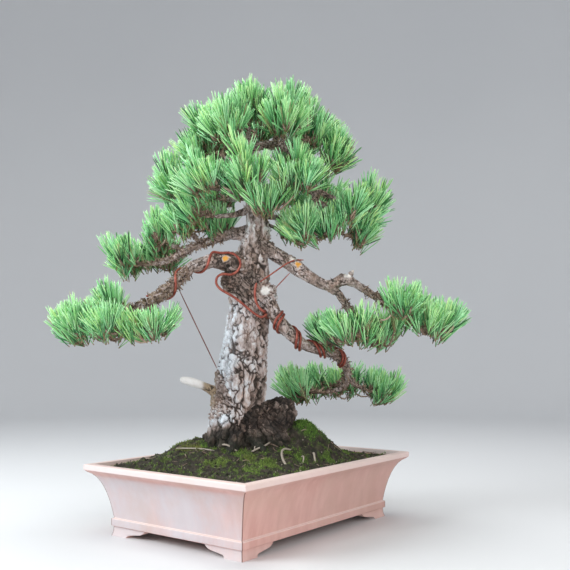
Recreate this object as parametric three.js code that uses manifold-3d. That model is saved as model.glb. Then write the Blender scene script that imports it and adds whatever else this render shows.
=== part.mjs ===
// Japanese black pine bonsai in a rectangular stoneware pot on four cloud-shaped feet.
// Units are millimetres, +Z up, and Z = 0 is the surface that the feet stand on.
// The pot's long sides run along X. The tree has a frame of its own: [across, away, up],
// turned about Z against the pot, because its main branches don't follow the pot's sides.
import * as THREE from "three";
import { mergeVertices } from "three/addons/utils/BufferGeometryUtils.js";
import Module from "manifold-3d";

const wasm = await Module();
wasm.setup();

// Driving dimensions
const POT_LENGTH = 450;
const POT_WIDTH = 330;
const POT_HEIGHT = 110;
const LIP_HEIGHT = 9;
const BELT_TOP = 27;
const APRON_BOTTOM = 14;
const FLARE = 33;
const FLOOR_TOP = 24;
const DRAIN_RADIUS = 13;
const DRAIN_SPACING = 190;
const TREE_TURN = THREE.MathUtils.degToRad(-53);
const SOIL_EDGE = 101;
const NEEDLE_LENGTH = 48;
const THICK_WIRE = 2.1;
const GUY_WIRE = 0.9;
const GAP = 0.3;

// Colours from the finished plant
const CLAY = new THREE.MeshStandardMaterial({ color: 0xd9a894, roughness: 0.75 });
const SOIL = new THREE.MeshStandardMaterial({ color: 0x3b3a24, roughness: 1 });
const BARK = new THREE.MeshStandardMaterial({ color: 0x83715f, roughness: 0.95 });
const NEEDLES = new THREE.MeshStandardMaterial({ color: 0x58b45a, roughness: 0.5 });
const COPPER = new THREE.MeshStandardMaterial({ color: 0xa0523f, roughness: 0.4, metalness: 0.8 });
const PLASTIC = new THREE.MeshStandardMaterial({ color: 0x20242a, roughness: 0.6 });

const V = (x, y, z) => new THREE.Vector3(x, y, z);

// Repeatable random numbers from 0 to 1
function seeded(seed) {
  let state = seed >>> 0;
  return () => {
    state = (state + 0x6d2b79f5) >>> 0;
    let t = state;
    t = Math.imul(t ^ (t >>> 15), t | 1);
    t ^= t + Math.imul(t ^ (t >>> 7), t | 61);
    return ((t ^ (t >>> 14)) >>> 0) / 4294967296;
  };
}

// Solids from geometries and back
function solid(geometry) {
  const bare = new THREE.BufferGeometry().setAttribute("position", geometry.getAttribute("position"));
  bare.setIndex(geometry.index);
  const merged = mergeVertices(bare, 1e-4);
  const mesh = new wasm.Mesh({
    numProp: 3,
    vertProperties: merged.attributes.position.array,
    triVerts: new Uint32Array(merged.index.array),
  });
  return new wasm.Manifold(mesh);
}

function geometryOf(made) {
  const { numProp, numVert, vertProperties, triVerts } = made.getMesh();
  const points = new Float32Array(numVert * 3);
  for (let i = 0; i < numVert; i++) {
    points.set(vertProperties.subarray(i * numProp, i * numProp + 3), i * 3);
  }
  return new THREE.BufferGeometry()
    .setAttribute("position", new THREE.BufferAttribute(points, 3))
    .setIndex(new THREE.BufferAttribute(triVerts, 1));
}

function join(solids) {
  return solids.reduce((all, next) => all.add(next));
}

function box(width, depth, height, x, y, z) {
  return solid(new THREE.BoxGeometry(width, depth, height).translate(x, y, z + height / 2));
}

function mesh(name, made, material) {
  const part = new THREE.Mesh(geometryOf(made), material);
  part.geometry.computeVertexNormals();
  part.name = name;
  return part;
}

// Stations are points along a line, each with two directions square to it that don't twist.
function stations(points) {
  let side = null;
  return points.map((point, i) => {
    const ahead = points[Math.min(i + 1, points.length - 1)];
    const along = ahead.clone().sub(points[Math.max(i - 1, 0)]).normalize();
    if (!side) side = Math.abs(along.z) < 0.9 ? V(0, 0, 1) : V(1, 0, 0);
    side = side.clone().addScaledVector(along, -side.dot(along)).normalize();
    return { point, along, side, up: along.clone().cross(side) };
  });
}

function beside({ point, side, up }, angle, distance) {
  const [c, s] = [Math.cos(angle) * distance, Math.sin(angle) * distance];
  return point.clone().addScaledVector(side, c).addScaledVector(up, s);
}

// The skin of a tube: a ring of corners at each station, every second one turned by half a step.
// Its last faces close the far end, on a tip if there is one.
function skin(places, sides, reach, tip = null) {
  const corners = [];
  const faces = [[0, 2, 1]];
  for (let j = 3; j < sides; j++) faces.push([0, j, j - 1]);
  places.forEach((place, i) => {
    for (let j = 0; j < sides; j++) {
      const angle = (2 * Math.PI * (j + 0.5 * (i % 2))) / sides;
      corners.push(beside(place, angle, reach(i, angle)));
    }
  });
  for (let i = 0; i < places.length - 1; i++) {
    for (let j = 0; j < sides; j++) {
      const [a, b] = [i * sides + j, i * sides + ((j + 1) % sides)];
      const [c, d] = [a + sides, b + sides];
      if (i % 2) faces.push([a, b, d], [a, d, c]);
      else faces.push([a, b, c], [b, d, c]);
    }
  }
  const last = (places.length - 1) * sides;
  if (tip) corners.push(tip);
  for (let j = tip ? 0 : 1; j < (tip ? sides : sides - 1); j++) {
    const open = [last, last + j, last + j + 1];
    faces.push(tip ? [last + j, last + ((j + 1) % sides), corners.length - 1] : open);
  }
  return { corners, faces };
}

function solidSkin({ corners, faces }) {
  const geometry = new THREE.BufferGeometry().setFromPoints(corners).setIndex(faces.flat());
  return solid(geometry);
}

function sweep(points, sides, radius) {
  return solidSkin(skin(stations(points), sides, () => radius));
}

// A limb is a smooth line through hand-placed points [across, away, up, radius].
class Limb {
  static FINE = 60;

  constructor(path) {
    this.path = path;
    this.curve = new THREE.CatmullRomCurve3(path.map(([x, y, z]) => V(x, y, z)), false, "catmullrom", 0.5);
    this.fine = stations(this.curve.getPoints(Limb.FINE));
  }

  radius(t) {
    const spot = t * (this.path.length - 1);
    const k = Math.min(Math.floor(spot), this.path.length - 2);
    return THREE.MathUtils.lerp(this.path[k][3], this.path[k + 1][3], spot - k);
  }

  at(t) {
    const near = this.fine[Math.round(t * Limb.FINE)];
    return { ...near, point: this.curve.getPoint(t) };
  }

  end() {
    return this.fine[Limb.FINE];
  }

  // relief(t, angle) is the share of the radius that is left at a point of the bark.
  tube(sides, steps, { grow = 0, relief = () => 1 } = {}) {
    const places = Array.from({ length: steps + 1 }, (_, i) => this.at(i / steps));
    const reach = (i, angle) => this.radius(i / steps) * relief(i / steps, angle) + grow;
    return solidSkin(skin(places, sides, reach));
  }

  // Wire wound round the limb between two places, as the points of its middle line
  coil(from, to, turns, start, wire) {
    const perTurn = 7;
    const count = Math.ceil(turns * perTurn);
    return Array.from({ length: count + 1 }, (_, i) => {
      const t = THREE.MathUtils.lerp(from, to, i / count);
      const reach = (this.radius(t) + wire + 0.6) / Math.cos(Math.PI / perTurn);
      return beside(this.at(t), start + (2 * Math.PI * turns * i) / count, reach);
    });
  }
}

// Pot: a flared wall with a lip and a belt, cut out below to leave four cloud-shaped feet
function ringed(outline) {
  const points = [];
  const index = [];
  const corners = [[-1, -1], [1, -1], [1, 1], [-1, 1]];
  for (const [inset, z] of outline) {
    for (const [x, y] of corners) {
      points.push(x * (POT_LENGTH / 2 - inset), y * (POT_WIDTH / 2 - inset), z);
    }
  }
  for (let i = 0; i < outline.length - 1; i++) {
    for (let j = 0; j < 4; j++) {
      const [a, b] = [4 * i + j, 4 * i + ((j + 1) % 4)];
      index.push(a, b, b + 4, a, b + 4, a + 4);
    }
  }
  const top = 4 * (outline.length - 1);
  index.push(0, 2, 1, 0, 3, 2, top, top + 1, top + 2, top, top + 2, top + 3);
  const geometry = new THREE.BufferGeometry();
  geometry.setAttribute("position", new THREE.Float32BufferAttribute(points, 3)).setIndex(index);
  return solid(geometry);
}

// The pot's inner face from its floor to its mouth, drawn in by a clearance: [inset, height]
function cavity(clearance) {
  const face = [[43, FLOOR_TOP], [39, 60], [33, 80], [26, 91], [17, 99], [12.5, 104], [12, POT_HEIGHT + 1]];
  const lifted = face.map(([inset, z]) => [inset + clearance, z]);
  lifted[0][1] += clearance;
  return lifted;
}

function footArch(length) {
  const flat = 32;
  const reach = length / 2;
  const shape = new THREE.Shape();
  shape.moveTo(-reach + flat, -1);
  shape.lineTo(-reach + flat, 0);
  shape.quadraticCurveTo(-reach + flat + 1, 4.2, -reach + flat + 6, 4.6);
  shape.lineTo(-reach + 59, 7.4);
  shape.quadraticCurveTo(-reach + 66, 8.4, -reach + 71, APRON_BOTTOM);
  shape.lineTo(reach - 71, APRON_BOTTOM);
  shape.quadraticCurveTo(reach - 66, 8.4, reach - 59, 7.4);
  shape.lineTo(reach - flat - 6, 4.6);
  shape.quadraticCurveTo(reach - flat - 1, 4.2, reach - flat, 0);
  shape.lineTo(reach - flat, -1);
  return shape;
}

function makePot() {
  const flare = new THREE.CubicBezierCurve(
    new THREE.Vector2(FLARE + 1.5, BELT_TOP),
    new THREE.Vector2(29, 62),
    new THREE.Vector2(20, 93),
    new THREE.Vector2(4, POT_HEIGHT - LIP_HEIGHT - 2.5),
  );
  const wall = flare.getPoints(8).map(({ x, y }) => [x, y]);
  const belt = [[FLARE - 1, 0], [FLARE + 1, 6], [FLARE + 1.5, APRON_BOTTOM],
    [FLARE - 1.5, APRON_BOTTOM + 1.5], [FLARE - 1.5, BELT_TOP - 1]];
  const lipBottom = POT_HEIGHT - LIP_HEIGHT;
  const lip = [[2.5, lipBottom - 1], [0.4, lipBottom + 0.6], [0, POT_HEIGHT - 1.5], [1.5, POT_HEIGHT]];
  let pot = ringed([...belt, ...wall, ...lip]).subtract(ringed(cavity(0)));
  const footDepth = 15;
  const under = APRON_BOTTOM + 0.5;
  const inset = 2 * (FLARE + footDepth);
  pot = pot.subtract(box(POT_LENGTH - inset, POT_WIDTH - inset, under + 1, 0, 0, -1));
  const alongX = new THREE.ExtrudeGeometry(footArch(POT_LENGTH - 2 * FLARE), {
    depth: POT_WIDTH, bevelEnabled: false, curveSegments: 4,
  });
  alongX.translate(0, 0, -POT_WIDTH / 2).rotateX(Math.PI / 2);
  const alongY = new THREE.ExtrudeGeometry(footArch(POT_WIDTH - 2 * FLARE), {
    depth: POT_LENGTH, bevelEnabled: false, curveSegments: 4,
  });
  alongY.translate(0, 0, -POT_LENGTH / 2).rotateX(Math.PI / 2).rotateZ(Math.PI / 2);
  pot = pot.subtract(solid(alongX)).subtract(solid(alongY));
  for (const side of [-1, 1]) {
    const drain = new THREE.CylinderGeometry(DRAIN_RADIUS, DRAIN_RADIUS, 40, 20).rotateX(Math.PI / 2);
    pot = pot.subtract(solid(drain.translate((side * DRAIN_SPACING) / 2, 0, FLOOR_TOP)));
  }
  return pot;
}

// Drain screens: plastic grids that lie on the pot's floor over its holes
const SCREEN = { size: 42, thick: 2, bars: 3 };

function makeScreen(side) {
  const { size, thick, bars } = SCREEN;
  const pitch = size / bars;
  const centre = (side * DRAIN_SPACING) / 2;
  let grid = box(size, size, thick, centre, 0, FLOOR_TOP + GAP);
  for (let i = 0; i < bars; i++) {
    for (let j = 0; j < bars; j++) {
      const [x, y] = [(i + 0.5) * pitch - size / 2, (j + 0.5) * pitch - size / 2];
      grid = grid.subtract(box(0.66 * pitch, 0.66 * pitch, thick + 4, centre + x, y, FLOOR_TOP - 2));
    }
  }
  return grid;
}

// Soil surface: a mound round the trunk and a steep mossy one to its right
const MOUNDS = [
  { across: -34, away: 4, wide: 96, deep: 78, high: 34 },
  { across: 92, away: 20, wide: 30, deep: 34, high: 38 },
  { across: 45, away: 26, wide: 32, deep: 34, high: 24 },
  { across: -120, away: 10, wide: 42, deep: 40, high: 9 },
];

function soilHeight(x, y) {
  const [c, s] = [Math.cos(TREE_TURN), Math.sin(TREE_TURN)];
  const across = c * x + s * y;
  const away = -s * x + c * y;
  let mound = 0;
  for (const m of MOUNDS) {
    const apart = ((across - m.across) / m.wide) ** 2 + ((away - m.away) / m.deep) ** 2;
    mound += m.high * Math.exp(-0.5 * apart);
  }
  mound += 2.2 * Math.sin(x / 17 + 2 * Math.sin(y / 29)) * Math.sin(y / 15 + 1.3 * Math.sin(x / 23));
  const toWall = Math.min(POT_LENGTH / 2 - 12 - Math.abs(x), POT_WIDTH / 2 - 12 - Math.abs(y));
  return SOIL_EDGE + mound * THREE.MathUtils.smoothstep(toWall, -6, 60);
}

function makeSoil(hole) {
  const [columns, rows] = [14, 10];
  const [length, width] = [POT_LENGTH - 16, POT_WIDTH - 16];
  const block = new THREE.BoxGeometry(length, width, 100, columns, rows, 1).translate(0, 0, 50);
  const place = block.getAttribute("position");
  for (let i = 0; i < place.count; i++) {
    if (place.getZ(i) > 50) place.setZ(i, soilHeight(place.getX(i), place.getY(i)));
  }
  block.deleteAttribute("normal");
  block.deleteAttribute("uv");
  let soil = solid(block).intersect(ringed([...cavity(GAP), [12 + GAP, POT_HEIGHT + 120]]));
  const room = SCREEN.size + 4;
  for (const side of [-1, 1]) {
    soil = soil.subtract(box(room, room, SCREEN.thick + 3 * GAP, (side * DRAIN_SPACING) / 2, 0, FLOOR_TOP));
  }
  return soil.subtract(hole);
}

// Wood: the trunk, the limbs, the surface roots and the old stump beside the trunk
const TRUNK = new Limb([
  [-37, 1, 62, 40], [-37, 0, 100, 45], [-36, 0, 128, 49], [-35, 0, 150, 46], [-34, 0, 176, 44],
  [-28, 0, 213, 42], [-24, 0, 250, 41], [-20, 0, 302, 37], [-12, 0, 352, 32], [-8, 0, 391, 29.5],
  [-7, 0, 432, 26], [-5, 0, 458, 23], [1, 0, 484, 21], [0, 0, 510, 18.5], [-3, 0, 536, 16],
  [-12, 2, 570, 12.5], [-24, 4, 605, 10], [-30, 5, 626, 8],
]);

const LIMB_PATHS = {
  left_low: [[-14, -4, 428, 19], [-47, -20, 435, 16], [-68, -30, 437, 12.5], [-88, -38, 430, 10.5],
    [-108, -45, 422, 9.5], [-128, -50, 399, 9], [-147, -55, 380, 9], [-170, -60, 365, 8.5],
    [-193, -65, 349, 8], [-227, -74, 332, 6], [-249, -80, 322, 4.5]],
  left_low_near: [[-196, -66, 346, 5], [-208, -84, 334, 4.2], [-218, -98, 326, 3.4]],
  left_low_far: [[-205, -68, 342, 5], [-214, -48, 334, 4.2], [-222, -34, 329, 3.4]],
  left_low_top: [[-176, -61, 362, 5], [-192, -64, 358, 4.4], [-207, -67, 354, 3.6]],
  left_low_inner: [[-166, -59, 364, 5], [-163, -76, 348, 4.4], [-156, -90, 334, 3.4]],
  left_mid: [[-2, 2, 478, 13], [-38, 8, 487, 9], [-55, 14, 484, 8], [-91, 25, 474, 7],
    [-118, 35, 466, 6.5], [-140, 42, 453, 6], [-168, 51, 443, 4.6], [-186, 55, 440, 3.8]],
  left_mid_top: [[-128, 38, 460, 4.6], [-142, 41, 468, 4], [-155, 44, 474, 3.4]],
  left_mid_far: [[-132, 40, 457, 4.6], [-148, 62, 452, 4], [-158, 76, 450, 3.4]],
  right: [[2, 0, 468, 14], [31, -6, 450, 11], [53, -12, 436, 12], [68, -18, 425, 12.5],
    [90, -24, 409, 9.5], [109, -28, 397, 8.8], [126, -30, 395, 9], [144, -32, 404, 9.2],
    [159, -34, 400, 7], [180, -36, 387, 6.2], [204, -40, 370, 5.6], [236, -45, 350, 4.8],
    [256, -49, 340, 3.8]],
  right_up_inner: [[206, -41, 368, 4.6], [216, -54, 362, 4], [224, -66, 357, 3.4]],
  right_up_far: [[226, -44, 356, 4.6], [240, -28, 350, 4], [250, -16, 346, 3.4]],
  right_down: [[120, -30, 394, 8], [136, -28, 382, 7], [148, -22, 366, 6.5], [160, -15, 346, 6],
    [166, -11, 328, 5], [162, -8, 318, 4.2], [150, -6, 313, 3.6]],
  right_down_out: [[165, -11, 330, 5], [176, -14, 318, 4.4], [190, -18, 313, 3.5]],
  right_down_near: [[163, -12, 337, 4.6], [160, -34, 326, 4], [158, -48, 320, 3.4]],
  low_right: [[-8, -6, 390, 17], [14, -18, 377, 13], [25, -22, 359, 11.5], [35, -24, 339, 11],
    [51, -22, 321, 10.5], [70, -16, 303, 9.5], [88, -6, 293, 8.5], [113, 8, 287, 8], [136, 24, 280, 8.5],
    [150, 38, 267, 8], [157, 50, 252, 7], [158, 66, 236, 6], [152, 78, 224, 5], [138, 84, 217, 4.2],
    [122, 88, 214, 3.6]],
  low_right_out: [[158, 62, 240, 5], [173, 76, 227, 4.4], [190, 84, 219, 3.5]],
  low_right_far: [[158, 64, 240, 4.8], [152, 91, 231, 4.2], [146, 106, 226, 3.4]],
  crown_arch_inner: [[102, -19, 536, 4.6], [97, -30, 510, 4], [88, -38, 494, 3.4]],
  crown_arch: [[-28, 5, 618, 8], [-4, 0, 636, 7.5], [25, -4, 640, 7], [52, -6, 632, 6.5],
    [78, -10, 606, 6], [90, -14, 574, 5.5], [101, -19, 538, 5], [115, -22, 508, 4.5],
    [131, -21, 489, 4], [147, -19, 482, 3.5]],
  top_left: [[-30, 5, 616, 6], [-44, -4, 630, 5], [-55, -10, 640, 3.5]],
  top_front: [[-28, 4, 622, 6], [-16, -10, 650, 4.6], [-12, -20, 666, 3.5]],
  top_right: [[40, -5, 637, 5], [46, -2, 655, 4], [49, 2, 672, 3.3]],
  top_back: [[-28, 6, 618, 6], [-18, 28, 645, 4.6], [-10, 42, 662, 3.5]],
  shoulder_right: [[58, -8, 626, 5], [67, -6, 634, 4], [74, -5, 640, 3.3]],
  shoulder_left: [[-22, 4, 598, 7], [-46, 0, 607, 5.2], [-64, -4, 611, 3.6]],
  front_upper_left: [[-22, 2, 600, 7], [-30, -30, 618, 5], [-36, -52, 630, 3.6]],
  front_upper_right: [[25, -5, 638, 5], [34, -30, 640, 4.4], [40, -50, 645, 3.5]],
  back_upper_left: [[-24, 6, 604, 7], [-46, 34, 620, 5], [-60, 54, 632, 3.6]],
  back_upper_right: [[14, -2, 639, 5], [34, 28, 642, 4.4], [48, 48, 646, 3.5]],
  left_mid_crown: [[-10, 2, 562, 8], [-48, -2, 564, 6], [-82, -6, 564, 4.6], [-98, -8, 563, 3.6]],
  right_mid_crown: [[92, -15, 564, 5.2], [120, -20, 548, 4.6], [142, -24, 538, 3.6]],
  front_left: [[-9, 0, 552, 8], [-40, -35, 552, 5.6], [-60, -58, 553, 3.6]],
  front: [[-5, 0, 545, 8], [-8, -45, 550, 5.4], [-10, -70, 554, 3.6]],
  front_right: [[-4, 0, 540, 8], [30, -45, 545, 5.6], [50, -68, 550, 3.6]],
  back_right: [[90, -12, 576, 5.2], [100, 22, 568, 4.6], [105, 44, 565, 3.6]],
  back: [[-12, 2, 572, 8], [4, 45, 572, 5.6], [14, 70, 574, 3.6]],
  back_left: [[-6, 2, 552, 8], [-38, 42, 555, 5.6], [-56, 62, 557, 3.6]],
  right_upper: [[80, -11, 600, 5.2], [94, -14, 603, 4.6], [102, -16, 604, 3.5]],
  left_under: [[-2, 0, 530, 8], [-40, -12, 516, 5.4], [-70, -20, 512, 3.6]],
  right_under: [[100, -18, 540, 4.8], [120, -33, 523, 4.2], [133, -41, 517, 3.4]],
  front_under: [[-2, 0, 522, 8], [10, -40, 514, 4.8], [15, -58, 514, 3.5]],
  back_under: [[-1, 2, 520, 8], [38, 38, 520, 4.8], [58, 52, 522, 3.5]],
  small_left: [[-2, 4, 502, 6], [-30, 14, 497, 3.6], [-44, 18, 496, 2.8]],
  small_right: [[0, 2, 508, 6], [26, 10, 500, 3.4], [36, 14, 497, 2.8]],
  left_mid_inner: [[-96, 27, 473, 4.8], [-106, 20, 480, 4.2], [-113, 12, 487, 3.5]],
  crown_arch_left: [[128, -21, 491, 4], [126, -32, 487, 3.6], [123, -40, 487, 3.2]],
};

const LIMBS = Object.fromEntries(Object.entries(LIMB_PATHS).map(([name, path]) => [name, new Limb(path)]));

// Surface roots, mostly under the soil
const ROOTS = [
  [[-45, -10, 165, 16], [-66, -26, 139, 11], [-88, -36, 122, 8], [-106, -42, 108, 5]],
  [[-50, 2, 162, 16], [-78, 6, 138, 10], [-106, 12, 123, 7], [-126, 16, 110, 5]],
  [[-32, -16, 165, 16], [-32, -44, 140, 12], [-38, -66, 122, 8], [-42, -82, 106, 5]],
  [[-20, -12, 166, 16], [-2, -36, 140, 11], [14, -54, 122, 8], [26, -68, 108, 5]],
  [[-40, 16, 165, 16], [-52, 40, 138, 11], [-66, 58, 120, 8], [-76, 72, 106, 5]],
  [[-22, 14, 166, 16], [-6, 42, 140, 11], [2, 62, 122, 8], [6, 78, 106, 5]],
  [[-8, -2, 168, 20], [20, -10, 149, 23], [40, -14, 130, 20], [54, -18, 106, 10]],
];

// The old stump of a second root base, right of the trunk
const STUMP = [[-6, 6, 110, 34], [10, 14, 140, 37], [30, 21, 165, 35], [42, 25, 186, 28],
  [47, 26, 203, 15]];

// The dead wood on the left: the bleached jin, short stubs, and the knots of healed wounds
const JIN = new Limb([[-40, 0, 196, 14], [-57, -1, 211, 11], [-73, -4, 221, 7.8], [-87, -8, 228, 6.4],
  [-100, -11, 233, 7.6], [-113, -13, 237, 7.2], [-122, -14, 239, 5.8], [-126, -14, 239.5, 3.4]]);
const STUBS = [
  [[-44, -18, 434, 9], [-50, -41, 439, 6]],
  [[68, -18, 425, 8], [70, -33, 429, 6.5]],
  [[-48, -6, 236, 8], [-62, -10, 249, 5.5]],
  [[140, -32, 402, 10], [150, -34, 408, 7.5]],
  [[150, -33, 404, 4], [161, -36, 419, 2.4]],
].map((path) => new Limb(path));
const KNOTS = [[-38, -14, 403, 18, 15, 23], [-30, -10, 377, 14, 14, 19], [-40, -20, 430, 15, 14, 15],
  [19, -14, 383, 13, 12, 14], [-48, 0, 204, 14, 12, 16]];

// Bark relief only cuts inwards, so that a limb never stands out past its radius.
function bark(depth, ridges, seed) {
  return (t, angle) => {
    const drift = Math.sin(9 * t + seed) + 0.5 * Math.sin(23 * t + 2 * seed);
    const groove = Math.abs(Math.sin((ridges * angle) / 2 + drift));
    const plate = 0.5 + 0.5 * Math.sin(60 * t + 3 * Math.sin(2 * angle + seed));
    return 1 - depth * (0.7 * (1 - groove) + 0.3 * plate);
  };
}

function makeFoot(grow) {
  const relief = (...values) => (grow ? () => 1 : bark(...values));
  const roots = ROOTS.map((path, i) => new Limb(path).tube(5, 3, { grow, relief: relief(0.1, 3, i) }));
  const stump = new Limb(STUMP).tube(8, 4, { grow, relief: relief(0.16, 5, 4) });
  return join([TRUNK.tube(10, 20, { grow, relief: relief(0.13, 5, 1) }), stump, ...roots]);
}

function makeWood() {
  const pieces = [makeFoot(0)];
  Object.values(LIMBS).forEach((limb, i) => {
    const thick = limb.radius(0) > 9;
    const steps = Math.round((limb.path.length - 1) * (thick ? 1.3 : 1));
    pieces.push(limb.tube(thick ? 6 : 4, steps, { relief: bark(0.08, 3, i) }));
  });
  pieces.push(JIN.tube(6, 9), ...STUBS.map((stub) => stub.tube(6, 1)));
  for (const [x, y, z, a, b, c] of KNOTS) {
    pieces.push(solid(new THREE.IcosahedronGeometry(1, 1).scale(a, b, c).translate(x, y, z)));
  }
  return join(pieces);
}

// Copper wires, each the points of its middle line and its radius
function wireLines() {
  const { left_low: left, low_right: low } = LIMBS;
  const ring = [[-57, -40, 447], [-47, -40, 449], [-35, -40, 446], [-26, -40, 437], [-25, -39, 426],
    [-31, -38, 416], [-42, -38, 411], [-55, -40, 414]];
  const crossing = [[-64, -43, 408], [-66, -44, 397], [-59, -43, 387], [-41, -41, 378], [-25, -39, 367],
    [-7, -38, 351], [10, -38, 339]];
  const hook = [[1, -35, 399], [-2, -38.5, 386], [-1, -40, 369], [5, -43, 357], [15, -44, 349]];
  const guyLeft = [[-126, -51, 388.5], [-93, -31, 317], [-63.5, -13.5, 254]];
  const guyRight = [[5, -35, 399], [32, -31, 418], [58, -27, 437.5], [80, -24, 438]];
  const guyLow = [[30, -20, 389], [57, -16, 418]];
  const spread = (points) => points.map(([x, y, z]) => V(x, y, z));
  const wound = (lag) => [
    ...low.coil(0.17 - lag, 0.23 - lag, 0.875, 1.9, THICK_WIRE),
    ...low.coil(0.23 - lag, 0.68 - lag, 3.5, 1.13, THICK_WIRE).slice(1),
  ];
  const start = left.coil(0.7, 0.22, 1.9, -6, THICK_WIRE);
  const across = [...start, ...spread([...ring, ...crossing]), ...wound(0)];
  return {
    wire_across: [across, THICK_WIRE],
    wire_low: [[...spread(hook), ...wound(0.021)], THICK_WIRE],
    guy_left: [spread(guyLeft), GUY_WIRE],
    guy_right: [spread(guyRight), 1.3],
    guy_low: [spread(guyLow), GUY_WIRE],
  };
}

// The shortest way between two straight pieces a-b and c-d, as its length and its place along each
function nearest(a, b, c, d) {
  const [u, v, w] = [b.clone().sub(a), d.clone().sub(c), a.clone().sub(c)];
  const [uu, uv, vv, uw, vw] = [u.dot(u), u.dot(v), v.dot(v), u.dot(w), v.dot(w)];
  const clamp = (x) => Math.min(Math.max(x, 0), 1);
  const area = uu * vv - uv * uv;
  let s = area > 1e-9 ? clamp((uv * vw - vv * uw) / area) : 0;
  const t = clamp((uv * s + vw) / vv);
  s = clamp((uv * t - uw) / uu);
  return { gap: w.addScaledVector(u, s).addScaledVector(v, -t).length(), s, t };
}

// Everything that a twig or needle has to stay clear of, as straight pieces that taper
class Crowd {
  members = [];

  add(from, to, startRadius, endRadius, owner) {
    const middle = from.clone().add(to).multiplyScalar(0.5);
    const reach = from.distanceTo(to) / 2 + Math.max(startRadius, endRadius);
    this.members.push({ from, to, startRadius, endRadius, owner, middle, reach });
  }

  addLine(points, radius, owner) {
    for (let i = 1; i < points.length; i++) {
      this.add(points[i - 1], points[i], radius(i - 1), radius(i), owner);
    }
  }

  isClear(from, to, startRadius, endRadius, gap, owner) {
    const middle = from.clone().add(to).multiplyScalar(0.5);
    const reach = from.distanceTo(to) / 2 + Math.max(startRadius, endRadius) + gap;
    return this.members.every((m) => {
      if (m.owner === owner || m.middle.distanceTo(middle) > reach + m.reach) return true;
      const { gap: apart, s, t } = nearest(from, to, m.from, m.to);
      const own = THREE.MathUtils.lerp(startRadius, endRadius, s);
      return apart > own + THREE.MathUtils.lerp(m.startRadius, m.endRadius, t) + gap;
    });
  }
}

// A twig: a slim tube whose last faces are seats, each of which can carry a needle.
class Twig {
  static SIDES = 3;

  constructor(points, radius, bands) {
    this.places = stations(points);
    this.bands = bands;
    const { point, along } = this.places.at(-1);
    this.tip = point.clone().addScaledVector(along, 1.6);
    Object.assign(this, skin(this.places, Twig.SIDES, radius, this.tip));
    this.seats = this.faces.slice(-(bands * 2 + 1) * Twig.SIDES);
    this.needles = new Map();
  }

  // Needles spread wide at the back of the tuft and close round the tip.
  aim(seat, place, lift, random) {
    const back = 1 - place / (this.seats.length - 1);
    const middle = seat.reduce((sum, i) => sum.add(this.corners[i]), V(0, 0, 0)).divideScalar(3);
    const { point, along } = this.places.at(-1);
    const outward = middle.clone().sub(point);
    outward.addScaledVector(along, -outward.dot(along)).normalize();
    const angle = THREE.MathUtils.degToRad(22 + 40 * back + 14 * (random() - 0.5));
    const aimed = along.clone().multiplyScalar(Math.cos(angle)).addScaledVector(outward, Math.sin(angle));
    aimed.add(lift).addScaledVector(V(random() - 0.5, random() - 0.5, random() - 0.5), 0.3).normalize();
    return { middle, aimed };
  }

  // Needles that would come too close to anything are tried again, and left out in the end.
  plant(crowd, lift, owner, random) {
    this.seats.forEach((seat, place) => {
      for (let attempt = 0; attempt < 12; attempt++) {
        const { middle, aimed } = this.aim(seat, place, lift, random);
        if (aimed.z < -0.35) continue;
        const tip = middle.clone().addScaledVector(aimed, NEEDLE_LENGTH * (0.86 + 0.2 * random()));
        const start = middle.clone().addScaledVector(aimed, 5);
        const rootClear = crowd.isClear(middle, start, 1.3, 1.1, GAP, owner);
        if (!rootClear || !crowd.isClear(start, tip, 1.1, 0.2, 0.5) || !aboveGround(tip)) continue;
        crowd.add(middle, tip, 1.2, 0.2, owner);
        this.needles.set(seat, tip);
        return;
      }
    });
  }

  solid() {
    const corners = [...this.corners];
    const faces = this.faces.flatMap((face) => {
      const tip = this.needles.get(face);
      if (!tip) return [face];
      const [a, b, c] = face;
      const p = corners.push(tip) - 1;
      return [[a, b, p], [b, c, p], [c, a, p]];
    });
    return solidSkin({ corners, faces });
  }
}

function aboveGround(point) {
  const { x, y } = point.clone().applyAxisAngle(V(0, 0, 1), TREE_TURN);
  return point.z > Math.max(soilHeight(x, y), POT_HEIGHT) + 2;
}

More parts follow.
